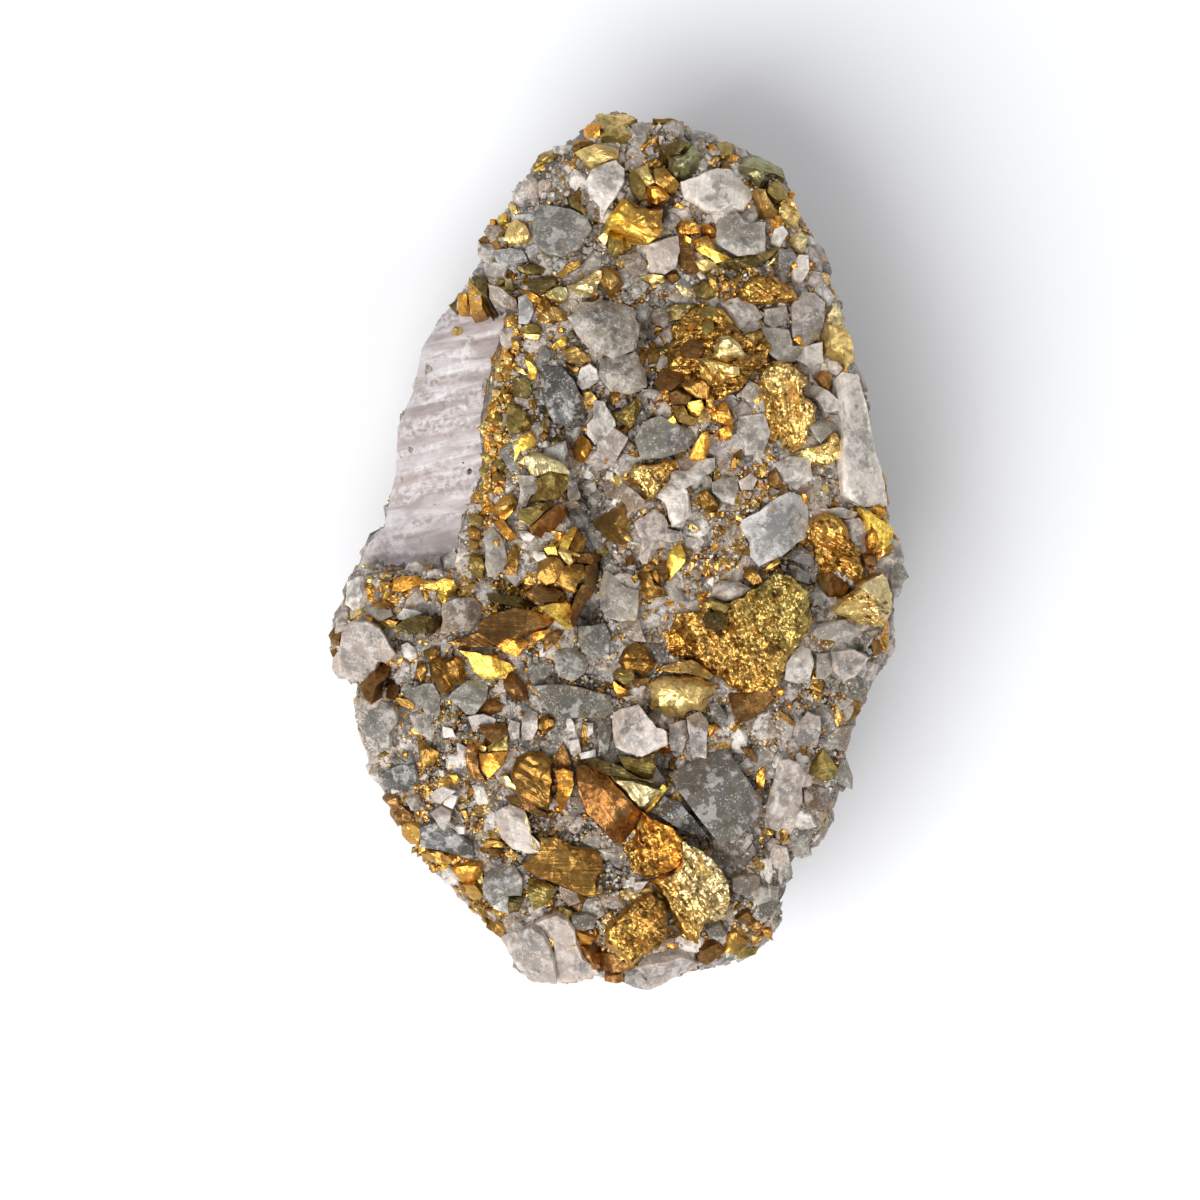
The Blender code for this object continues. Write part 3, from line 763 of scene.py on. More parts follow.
def crystal(corners, form, rise, facing, tilt, number, step=STEP):
    """Rings (path, around) of one crystal. A ring is the outline shrunk towards the middle by
    a share s. Its level is the plane that fits the crust round it best. Over that the top is
    a plane tilted towards the facing for a facet (f) or a block (b), cut by two steeper
    planes; a cone with a ridge to every corner for a point (p); a part of a ball for a dome
    (d); and a tilted plane plus folded noise for ripples (r). The whole is lifted until no
    crust shows through the top. Below the edge the rings fall straight down and draw in a
    little, to a foot that stays below the crust. Returns points, lay, depth, the place along
    the facing from -1 to 1 and the share."""
    after = np.roll(corners, -1, axis=0)
    if np.sum(corners[:, 0] * after[:, 1] - corners[:, 1] * after[:, 0]) < 0.0:
        corners = corners[::-1]
    rim = perimeter(corners, step)
    middle = corners.mean(axis=0)
    radius = np.hypot(*(rim - middle).T).mean()
    top_rows = max(3, int(math.ceil(radius / step)))
    edge_share = max(0.75, 1.0 - BEVEL / radius)
    shares = np.concatenate([np.linspace(0.05, edge_share, top_rows), [1.0, 1.0, 0.97, 0.86]])
    flat = middle + (rim - middle) * shares[:, None, None]
    ground = ground_height(rim[:, 0], rim[:, 1])
    plane = np.column_stack([rim - middle, np.ones(len(rim))])
    fit = np.linalg.lstsq(plane, ground, rcond=None)[0]
    fit[:2] *= min(1.0, STEEPEST_CRUST / max(0.01, np.hypot(fit[0], fit[1])))
    level = fit[2] + (flat - middle) @ fit[:2]
    lean = np.array([math.cos(math.radians(facing)), math.sin(math.radians(facing))])
    down = (flat - middle) @ lean
    slope = min(math.tan(math.radians(tilt)), 0.75 * rise / max(0.2, np.abs(down).max()))
    inward = np.clip(1.0 - shares[:, None] / edge_share, 0.0, 1.0)
    if form == "p":
        top = level + 0.22 * rise + 0.78 * rise * inward - 0.25 * slope * down
    elif form == "d":
        ball = np.sqrt(np.clip(1.0 - 0.8 * (1.0 - inward) ** 2, 0.0, 1.0))
        top = level + rise * ball - 0.4 * slope * down
    else:
        top = level + 0.6 * rise - slope * down
        if form in "fb":
            for side, steep in SECOND_FACETS:
                turn = math.pi * (chance_of(number, (side, 2), 6) + side)
                beyond = (flat - middle) @ (math.cos(turn), math.sin(turn)) - 0.38 * radius
                top = top - steep * np.maximum(beyond, 0.0)
    buried = ground_height(flat[:-3, :, 0], flat[:-3, :, 1]) + 0.2 - top[:-3]
    high = top + max(0.0, float(buried.max()))
    spot = np.concatenate([flat, high[..., None]], -1)
    turn = math.radians(facing + 90.0 + 40.0 * chance_of(number, (3, 1), 5))
    along = np.stack([flat @ (math.cos(turn), math.sin(turn)),
                      flat @ (-math.sin(turn), math.cos(turn)),
                      np.full(flat.shape[:2], number * 7.3)], -1)
    if form == "r":
        high = high + smooth_step(inward / 0.12) * ripples(along, number)
    rough = ROUGHNESS[form]
    high = high + rough * layered(spot, 0.9, 3) + rough * 1.3 * noise(spot, 2.4, 9)
    rows = len(shares)
    high[rows - 4] = high[rows - 5] - BEVEL
    high[rows - 3] = high[rows - 4] - 0.12 - 0.10 * rise
    foot = np.maximum(ground - SUNK, level[rows - 3] - LONGEST_FOOT)
    foot = np.minimum(foot, high[rows - 3] - 0.4)
    high[rows - 2] = high[rows - 3] * 0.45 + foot * 0.55
    high[rows - 1] = foot
    px, py = flat[-1].T
    outer = np.hypot(px, py) / outline_reach(np.arctan2(py, px))
    for row, pull in ((-3, 0.01), (-2, 0.05), (-1, 0.10)):
        flat[row] *= 1.0 - pull * smooth_step((outer - 0.76) / 0.2)[:, None]
    ragged = 0.08 if form in "fpb" else 0.20
    wobble = ragged * np.stack([layered(spot, 0.9, 71, 2), layered(spot, 0.9, 74, 2)], -1)
    flat = flat + wobble * smooth_step(shares * 1.4)[:, None, None]
    # how far down its sides a point lies below the edge; grow() paints shade there from it
    depth = smooth_step((high[rows - 4] - high + 0.1) / (0.8 * rise + 0.8))
    depth[: rows - 4] = 0.0
    toward = np.clip(down / np.abs(down).max(), -1.0, 1.0)
    points = np.concatenate([flat, high[..., None]], -1)
    return points, along, depth, toward, np.minimum(shares, 1.0)[:, None]


def rows_of(table):
    """The rows of a table, with the lines that start with a space joined to their row."""
    return table.strip().replace("\n ", " ").splitlines()


def grow(batch, rows, first_number_used, step=STEP):
    """Add one crystal to a batch for each row: tone, form, rise, then corners x, y in turn.
    Two tones joined by a stroke run into each other towards the facing, and form@angle sets
    the facing. A metallic facet is also painted lighter and yellower at one end along the facing
    and darker and browner at the other, a painted gradient of light. A pale one is painted
    lighter at its edge, a glassy highlight with some frosted white, and both are painted darker
    down their sides as shade."""
    for number, row in enumerate(rows, first_number_used):
        tone, form, rise, *places = row.split()
        tone, _, far_tone = tone.partition("/")
        colour, facing, tilt = TONES[tone]
        far_colour = TONES[far_tone or tone][0]
        facing = facing + 34.0 * chance_of(number, (1, 1), 8)
        form, _, turned = form.partition("@")
        facing = float(turned) if turned else facing
        corners = np.array(places, dtype=float).reshape(-1, 2)
        points, lay, depth, toward, share = crystal(
            corners, form, float(rise), facing, tilt, number, step)
        far = smooth_step(0.5 + 0.6 * toward)[..., None]
        shade = np.array(colour) * (1.0 - far) + np.array(far_colour) * far
        shade = shade * (1.0 + 0.10 * chance_of(number, (2, 1), 9))
        if tone in BRASSY:
            swing = 1.0 if chance_of(number, (4, 1), 9) > -0.3 else -1.0
            # painted light: one end along the facing is lighter and yellower, the other darker and
            # browner
            shade = shade * (1.0 + swing * toward[..., None] * np.array((0.14, 0.20, 0.22)))
            # painted shade: darker down the sides of the crystal
            shade = shade * (1.0 - 0.50 * depth)[..., None]
        else:
            # painted highlight at the edge of a pale crystal, partly frosted white, and painted shade
            # down its sides
            edge = 0.30 * smooth_step((share - 0.60) / 0.35)
            shade = shade * (0.88 + edge - 0.46 * depth)[..., None]
        poles = np.stack([points[0].mean(axis=0), points[-1].mean(axis=0)])
        tint = np.concatenate([shade.reshape(-1, 3), shade[[0, -1], 0]])
        lays = np.concatenate([lay.reshape(-1, 3), lay[[0, -1], 0]])
        batch.add(points[None], poles[:1], poles[1:], tint[None], lays[None])
    return first_number_used + len(rows)


def kind_of(row):
    """What a row grows as: metallic, clear (pale faces) or sugary (pale domes)."""
    tone, form = row.split()[:2]
    if tone.partition("/")[0] in BRASSY:
        return "chalcopyrite"
    return "sugary" if form[0] == "d" else "calcite"


print(len(TONES), "tones, of which", len(BRASSY), "are metallic")

# %% [markdown]
# ## The crystals at the narrow end
# The top of the specimen is crowded: a striated gold block in the middle, milky calcite
# blocks to its right, a dark green-black lump above them and small tarnished crystals in
# between. Each row below is one crystal, with places in mm from the middle of the back.

# %% Narrow end, from 24 mm up
NARROW_END = """
orange f 1.6 -3.4 43 -2.6 43.6 -1.6 43.4 -1.7 42.2 -2.3 41.6 -3 42.2
olive/pale r 1.6 -2.2 44.4 .3 44.7 2.2 44.1 1.2 43.3 1.6 42 .2 41.6 -1.5 41.9 -1.6 43.3
pale f@225 1.4 -4.3 40.5 -3.2 41 -2.2 41.3 .2 40.8 .1 39.8 -1.2 39.3 -2.8 39.1 -3.9 39.9
brown f 1.4 -4.5 41.2 -2.8 41.9 -2.2 41.6 -2.6 41.1 -4.4 40.9
olive d 1.3 -8.7 39.4 -7.6 40.6 -6.5 41 -5.6 40.8 -5.6 40.2 -7 39.3
bright f 1.0 -8.5 38.8 -7.2 39.5 -7.4 38.9 -8.3 38.7
white b 2.3 -3.2 37.2 -2.5 38.6 -1.2 39.2 -.1 39.5 .7 38.6 .7 37.2 .1 36 -.9 34.8 -1.6 33.3 -1.8 34.8
 -2.6 35.8
olive f 1.2 -5 36 -4.3 35.9 -2.9 34.4 -3.2 33.9 -4.6 34.8
quartz b 1.6 -8.5 34.2 -7.8 35.2 -6 34.9 -4.8 34.6 -3 33.8 -2.5 32.6 -3.6 30.6 -5.6 29.6 -7 29.9 -8.4 31.2
white b 1.7 -7.8 33.6 -7.1 34.6 -6.6 34 -7.2 33
pale f 1.8 -11.5 31.6 -10.6 31.1 -9.2 31.1 -8.8 32 -9.2 33 -10.2 33.6 -11 33.3
bright f 1.8 -12.1 34.2 -11.2 34.3 -11.1 33.1 -12 33.2
orange f 1.6 -12.9 33.9 -12.3 33.8 -12.3 33.2 -12.9 33.2
pale f 1.3 -10.9 35.4 -10.2 35.2 -10 34.2 -10.7 34.1
gold f 1.5 -9.9 33.4 -9.1 33.3 -9.2 32.5 -10 32.4
gold f 1.3 -13 31.2 -12.2 31.6 -11.9 30.9 -12.6 30.4
gold/bright r@200 2.7 -1.3 33 -.5 34.2 0 35 .7 35.7 1.5 35.4 2.5 34.6 4.6 34.3 4.7 32.6 4.4 31.6 3 31
 1.8 30.9 .9 31.2 .6 32 -.3 32.4 -1 32.4
olive f 1.7 -.9 32.2 -.2 32.4 .8 31.9 1.6 30.8 .8 30.1 -.2 29.6 -.9 30.3
pale f 1.5 -1.9 31.6 -1.2 32.5 -.7 32.6 -.8 31.4 -1.2 30.8
tan b 1.3 .2 29.9 2.2 30.1 2.9 29.4 3.3 27.9 1.6 27.8 .6 29
pink b 2.6 2.9 30.9 4.4 31.3 6.2 31.9 6.4 30.2 6 28.5 4.8 27.9 3.4 28.1 3.1 29.5
pale f 1.5 2.4 27.7 3.4 28 4.8 27.8 5 27.1 3.6 26.9
brown f 1.6 4.9 27.8 6 28.4 6.4 27.6 5.6 26.9
olive f 2.0 1.1 38.3 2 38.6 3 37.4 3.1 35.6 2.2 35.4 1.4 36.6
pale f 1.6 1.8 38.6 3.1 39.2 3.9 37.2 3 36.8 2.4 37.6
orange r 2.0 3 36.9 4.3 36.8 5.4 36 5.3 35.3 4 34.8 3 35
gold f@225 2.2 3.8 38.8 5 38.8 6.3 37.2 6 36.3 5 36.3 3.8 37.2
dark f 2.6 4.4 40.9 6.4 41.8 7.6 41.3 6.6 40.2 5 40
teal d 2.6 5 40 6.6 40.2 7.6 41.2 8.7 40.4 8.4 39.2 7.4 38.1 6.4 38 5.4 38.5 5.2 39.7
teal f 2.6 5.4 39 6.5 39.5 6.8 38.3 5.8 37.9
grey b 1.8 1.5 43.4 2.6 43.8 3.4 43.3 3 41.6 2.2 41.2 1.6 42
amber f 1.4 3.7 44.2 5 44.1 6.2 44 7 43.3 6.4 42.8 5.6 43.6 4.2 43.8
grey b 1.6 7 43.1 9 42.9 10.4 42.3 9.6 41.6 7.6 41.8
white b 2.5 6.4 37.4 8.2 38 10.2 38.9 11.4 38.8 13.2 37.2 13.8 36 12.9 34.6 11.8 35.2 10.4 34.3 9 34.4
 7.8 35.4 6.8 35.8
grey b 2.0 10 33 10.4 34.2 12.2 34.4 13 33.2 15 33.3 15.1 30.4 13.9 29.9 12.2 29.8 10.2 31
orange f 1.8 5.7 32.9 6.4 33.4 7.6 33.4 8.2 32.8 8.4 32.1 7.2 32 6.3 32.1
orange d@225 1.6 8.7 33 9.4 33.2 10 32.9 10.2 32 9.6 31.6 8.8 32.2
brown f 2.0 6.3 32 6.9 31.6 8 29.8 8.3 28.2 7.8 27.9 6.4 28.6
bright f 1.9 6.8 32 7.6 31.6 7.5 31 6.9 31.3
gold f 2.2 7.6 31.5 9.2 31.9 9.9 31.1 10 30.4 8.8 30.3 8 30.2
bright f 2.2 8 30.4 8.6 30.9 10.4 30.2 12.2 29.5 10 29.1 9.4 29.6
pale f 2.0 7.9 29.3 9.2 29.5 10 29.1 9.3 28 8.6 28
gold f 1.6 9.2 28.2 9.8 27.8 10.4 26.4 9.8 26.1 9.3 27.2
olive f 1.8 7.6 26.7 8.6 27.4 9.8 26.9 10 25.6 9.2 25.2 8 25.6
dark f 2.2 10 29 12.1 29.6 15.5 30.5 17 31.2 15.8 29.8 14.2 28.8 11 28.5
pale f 1.9 15 28.6 16.8 30.8 15.8 29.2
gold f 1.8 -6 27.9 -5.2 28.9 -3.8 29.4 -3.6 28.8 -4.8 27.9 -5.6 27.5
dark f 1.7 -10.2 28.7 -9.8 29 -7.8 28.9 -6.8 28.4 -7.6 27.8 -8.8 28 -9.8 28.2
dark f 2.0 -9.6 27.1 -7.6 27.8 -6 27.8 -6.2 26.9 -7.6 25.8 -9 26.6
silver r 2.3 -5 26.6 -3.6 27.6 -2 28.3 -1.6 28.2 -1.5 27 -2.2 26 -3.4 25.6 -4.6 26.3
olive/silver f 2.0 -7.4 25.9 -6.2 26.7 -5.2 26.6 -4.9 25.6 -5.6 24.9 -6.4 25.2
bronze d 2.3 -1.8 28.4 -.8 28.8 .2 28.1 .7 27.1 .2 26.2 -.6 25.3 -1.3 26.2 -1.8 27.4
orange f 1.7 -9.9 26.6 -8.9 26.3 -7.5 25.4 -7.7 24.9 -8.5 25.1 -9.6 26.1
blue b 1.9 -10 25.6 -9.2 26 -8.6 25.3 -8.3 24.2 -9 22.9 -9.9 23
blue b 1.9 -12.6 30.6 -11 30.7 -9.5 30.4 -9 29.3 -10.2 29 -11.6 28.9 -12.2 29.4
white b 1.4 -14.2 29.2 -12.4 29.4 -11.2 28.8 -11.4 27.8 -13 27.9 -14.3 28.4
olive f 1.7 10.1 41.5 11.2 41.8 11.9 41.3 11.7 40.2 10.6 40
orange f 1.5 9.3 41.2 9.9 41.5 10 40.7 9.5 40.6
lilac b 1.4 12 41.4 13.2 40.9 13.4 40.4 12.2 40.2
teal d 2.4 13 40 14 40.3 15.4 39.9 16.8 39.1 17.2 38 16.2 38.2 15 37.2 14.4 37 13.6 37.8 12.6 38.4 12.2
 39.2
dark f 2.6 14.2 39.6 15.8 39.2 16.6 38.4 15.2 38
olive f 2.0 15.4 37.4 16.6 37.8 17.4 36.4 17.2 35.7 16.2 35.6 15.2 36.4
pale r@225 2.0 16.4 35.4 17.4 35.9 18.2 35.2 18.7 33.8 18.4 33 17.2 33.2 16.2 33.8
bronze f 1.9 14 36.8 15 36.6 15.6 35.4 16.2 34.2 15.2 33.4 14.4 34.8
white b 1.6 15.6 31.3 16 32.6 16.9 33 17.4 32.2 16.8 31.2
silver f 2.0 17.4 31.4 17.8 32.1 18.7 32.4 19.3 31.8 19.2 30.6 18.8 30.2
rust d 1.6 19.2 32.6 19.8 32.6 20 32 19.6 31.8
orange f 1.7 20.2 30 20.7 30.2 21.1 29.6 21.1 28.8 20.5 28.8
pale f 1.5 19.8 31.4 20.4 31.2 21 30.3 20.4 30.6
quartz b 1.8 16.4 30.6 17.8 30.6 18.4 29.4 17.4 28.2 16.4 28.6
white b 1.9 18.4 30 19.4 30 19.6 28.6 18.8 27.2 18 27.4 17.8 28.4
orange f 1.9 17.6 28.9 18.2 29.3 18.4 28.8 17.9 28.3
pale f 1.6 20.2 28 21 28.4 21.7 28 21.7 27.2 20.4 27.2
dark f 1.9 -14.8 27.9 -13.2 27.8 -13.1 25.8 -13.9 26.2
gold f 1.8 -15 27.9 -14.7 27.2 -13.8 26.4 -13.6 24.6 -14.8 24 -15.2 26.4
orange f 1.4 -16.2 26 -15.3 26.3 -15.1 24.6 -16.2 24.4
dark f 1.4 -17.2 25.2 -16.5 25.7 -16 25.2 -16.4 24.2
pale f 1.9 -19 22.4 -18 23.9 -17.4 24.7 -16.6 24.2 -15.7 23.3 -15.8 22.4 -17 22 -18.6 22
tan b 1.4 -13 26.9 -11.8 26.6 -10.2 25.4 -10 24.2 -11.6 24.8 -12.9 25.6
"""

# %% [markdown]
# ## The crystals round the trough
# Down the middle of the face a trough opens. Its walls carry bronze and olive crystals, a
# bright gold pair on the left, a white calcite nub in the middle, and a blue-grey dome of
# sugary quartz above it. On the right wall a group of gold crystals stands with orange flakes
# at its foot, next to a foil-like rippled sheet.

# %% Upper middle, from 8 to 25 mm
UPPER_MIDDLE = """
bronze f 1.8 -7.7 24.2 -6.6 24.7 -5 24.3 -4.5 23.6 -5.2 23.1 -6.6 23.3
olive f 1.9 -9.9 22.4 -9 23 -8 22.9 -7.6 22.4 -8.2 21.9 -9.2 22
pale f 1.8 -9.6 22 -8.4 21.9 -7.7 21.8 -7.9 21.2 -9 21.4
bright f 1.7 -6.8 20.4 -6.2 21 -5.6 21.7 -5.1 21.6 -5 20.8 -5.8 20.4
orange f 1.3 -6 22.5 -5.4 22.6 -5.3 22 -5.9 21.9
quartz b 1.7 -7.9 20.6 -7.2 20.6 -6.5 19.8 -6.9 19.1 -7.8 19.4
bronze f 2.0 -5.6 20.2 -4.2 20.7 -3.2 20 -2.6 19.2 -3.5 18.6 -4.9 19
gold f 1.6 -5.2 18.9 -3.7 18.4 -3.8 18 -4.8 18.1
white b 2.4 -3.6 18.4 -2.7 18.8 -2 18.3 -1.7 17.2 -2.6 16.6 -3.4 16.3 -4.1 16.9
bronze f 2.0 -3.4 16.1 -2.6 16.2 -2 15.3 -2.4 14.4 -3.2 14.3 -3.5 15.2
grey d 2.4 -5 23.4 -3.6 25.2 -.6 25.4 1.6 24.6 2.4 22.4 2 20.4 -.4 19.4 -3 20.4
grey d 2.2 -1.6 19.4 1.8 20 3 18.4 3 16.6 1.4 15.8 -.8 16 -1.8 17.4
slate b 2.2 -8 18.8 -5.5 18.5 -4.4 17.2 -3.3 15.4 -2.8 13.2 -4.2 12.4 -6.4 12.9 -7.4 15
bright f 2.0 -9.3 19.4 -8.7 19.1 -8.1 18.3 -8.2 17.2 -8.8 17 -9 18.2
pale f 1.7 -10.2 18.5 -9.5 18.4 -8.9 17.7 -10 17.9
dark f 2.1 -10.6 17.4 -9.4 17.6 -8.8 17 -8.5 16 -9 15.3 -10.4 15.5
olive f 2.3 -11.1 14.9 -10.1 14.7 -8.1 13.1 -8.8 12.1 -9.9 11.8 -10.8 11.6 -11.2 12.8
bright f 2.4 -9.6 11.7 -8.8 12 -8.1 11 -8.4 10.4 -9 10.2 -10 9.9 -10.4 9 -10.4 10.2 -10.2 11
silver f@225 2.4 -10.3 8.8 -9 9.8 -8 10 -6.6 9.4 -5.4 8.7 -4.8 8 -4.8 7.6 -6.8 8 -8.4 7.2 -9.2 8.6
amber f 1.6 -7.9 11.6 -7.3 12.2 -6.8 11.6 -7.3 11
orange d 2.2 -4.4 11.2 -3.4 11.8 -2.8 11.2 -2.5 10.3 -3 9 -3.6 8.7 -4.3 9.2 -4.6 10.2
white b 3.2 -2.4 15.2 -1.4 15.1 -.8 14.2 -.2 13.1 -.1 12.5 -1 11.6 -2.2 10.7 -3 11.8 -3 12.8 -2.4 13.4
lilac b 2.0 -2 11.2 -.4 12.4 1.2 11.4 .4 9.8 -.2 9 -2 9.6
olive r 2.2 .2 14.2 1.4 15 2.3 15.6 2.5 14.6 1.9 13.2 1.2 12.3 0 13 -.8 13.9
quartz b 2.1 2.6 13 4.4 13.6 6.4 12.6 8 12.1 8.2 11.3 6.8 10 4.6 9.2 2.4 9.2 1.8 11.2
bright f 2.2 4.8 12.9 5.7 13.6 6.2 12.6 5.6 12.4
gold f 1.9 3.4 12.8 4 13 3.9 12.3 3.4 12.2
orange f 2.0 7.2 9.3 7.5 10.2 8.6 11.9 9.2 12 9.4 10.8 9 9.2 8 9
orange f 1.6 .2 22.6 .6 23.9 1.4 23.4 .8 22.6
bronze f 1.8 3 20.6 4.4 20.4 4.2 19 3.2 18.8
orange f 4.1 5.4 22.6 6.2 23.1 8.2 23 8 22.5 7 21.6 6.3 20.9 5.9 21.6
dark f@45 2.4 5 24.8 6.6 25 8.4 24.8 8.2 23.6 5.4 23.2
olive f 3.7 8.4 24.2 9.4 24.7 10.2 24.4 10.5 23.2 9.4 23.2 8.6 23.4
olive f 4.1 8.5 23.2 9.6 23.4 9.9 22.4 9.2 21.6 8.6 22
brown f@45 4.3 6.2 20.5 7.2 21.2 8.8 21.3 9.2 20.4 8.2 19.2 7 19.4
pale/gold r@235 4.9 8.2 19.2 9 19.4 10.4 18.8 12.2 18.4 12.4 17.6 10.8 17 9.2 16.4 8.4 17.6
silver/pale r@240 5.3 9.9 20.7 10.5 21.4 11.4 21.5 12.4 20.6 13.1 19.7 12 19.2 10.6 18.8 9.6 19.4
gold f@225 3.5 10 24.4 10.6 24.3 12.8 21.8 12.2 21.6 10.8 22.8
brown f 3.7 4.3 18 6.6 18.4 6.8 17.2 5.4 16 4.2 16.2 3.7 16.8
amber f@225 3.9 6.4 16.8 7.4 17.1 8.6 17.2 9.4 16.4 9.2 15.2 7.8 15.4 7 16
brown f 3.7 5 15.8 6.6 16.5 7.6 15.6 7.2 14.6 5.6 14.8
bright f 3.7 7 14.9 8.4 15.2 8.8 14.4 8.2 13.6 7.4 13.4
bronze f 3.5 5.6 14.6 6.8 14.6 7.2 13.6 8.2 13.2 7.8 12.4 6.2 12.9 5.9 13.6
gold f 3.5 9 16.2 9.8 15.4 9.6 14.2 8.9 14.3
orange f 2.0 10 14 10.3 14.8 11.1 14.9 11.7 13.4 11.9 12.1 11 12.6 10.2 13
orange f 1.8 10.2 12.3 11.2 12.6 11.7 11.8 11.4 11.1 10.5 11.2
white d 1.8 10.4 25.2 12.2 25.6 14 25 14.8 23.6 13.2 22.6 12 22.2 11.2 23.2
grey b 1.8 15 24.4 17.2 24.9 17.6 23.2 15.8 22.4 14.9 23
lilac b 2.2 17.8 25 18.8 26.2 20.2 26.2 21.2 25.2 21 23.2 20.4 21.4 18.6 20.4 17.7 21.6
grey b 2.0 14.6 22.6 17.4 22.4 17.8 20.6 19.6 20.8 18.4 19.2 16.4 19 15 20.2
white b 2.0 18.6 20.6 20.8 21.2 21 19.2 19.6 18.4 18 19.4
white d 1.8 21.6 19.4 22.4 19.4 23 18.6 22.4 17.9 21.4 18.2
orange f 2.4 17.7 21.2 18.4 21.8 19 21.2 18.9 20.7
rust r 2.0 20.1 17.6 21 18.3 21.8 17.8 21.6 16.6 21.2 16.4
grey b 2.0 12 15.6 13.4 17.1 14.6 16.7 15 15.8 13.8 15.2
white b 1.8 19 16 20 16.9 21.4 16.2 22.6 15.2 22.8 14.2 21 14 20.4 15.2
white b 1.5 22 16.6 22.9 15.2 22.6 14.2 21.8 15.6
grey b 1.5 19.4 12.6 21 13.6 22.4 12.6 20.6 10.8
silver f@225 1.9 21.4 24 22.2 25.2 22.6 24.6 23 23.2 21.9 22.6
pale f@225 2.0 21.4 22.8 22.8 22.9 23.7 21.8 24 20.4 24.2 19.4 23.4 18.4 22.8 19.6 21.6 20.4
orange f 1.4 24.8 14.4 25.3 14.7 25.6 13.4 25.1 13.3
white f@225 1.6 22.8 18 24.4 17.8 25.3 14.6 26.1 10.4 27.2 7 27.6 4.6 25 4.4 23 5.6 22.8 9 23.2 13.6
grey b 1.6 12.4 13.6 15 14 15.6 12 14.8 9.8 12.8 9.6 12 11.6
olive f 1.5 -12.6 8.6 -12 9.2 -11.4 8.8 -11.5 8
orange f 1.3 -12.6 8.5 -12.1 8.6 -12.1 8 -12.6 8
amber f 1.5 -12.6 7.6 -12 8 -11.2 7.2 -12.4 6.7
gold f 1.6 -10.7 21.6 -9.8 21.4 -9.8 20.4 -10.6 20.4
pale f 1.6 -11.4 19.8 -10.6 19.6 -10.5 18.8 -11.4 18.8
gold f 1.4 -12.3 18 -11.6 17.9 -11.5 17.1 -12.2 17
pale f 1.4 -12.6 16.4 -11.8 16.2 -11.9 15.5 -12.6 15.6
olive f 1.4 -12.4 14 -11.5 13.9 -11.6 13 -12.4 13
olive f 1.4 -13.8 12.8 -13 12.9 -12.9 12 -13.7 12
pale f 1.4 -12.4 11.9 -11.6 11.8 -11.7 11 -12.4 11
pale f 1.4 -12.9 10.4 -12.1 10.3 -12.2 9.6 -12.9 9.6
silver f@225 1.5 -11.4 27.6 -10.6 27.6 -10.4 26.4 -11.3 26.4
rust f 1.5 -11.2 25.8 -10.2 25.8 -10 24.9 -11 24.8
"""

# %% [markdown]
# ## The crystals across the middle
# The widest part of the specimen carries its largest single masses: a rippled gold sheet on
# the right, a brown tetrahedron with a bright face on the left, and blocks of grey and bluish
# calcite that show their slanted cleavage.

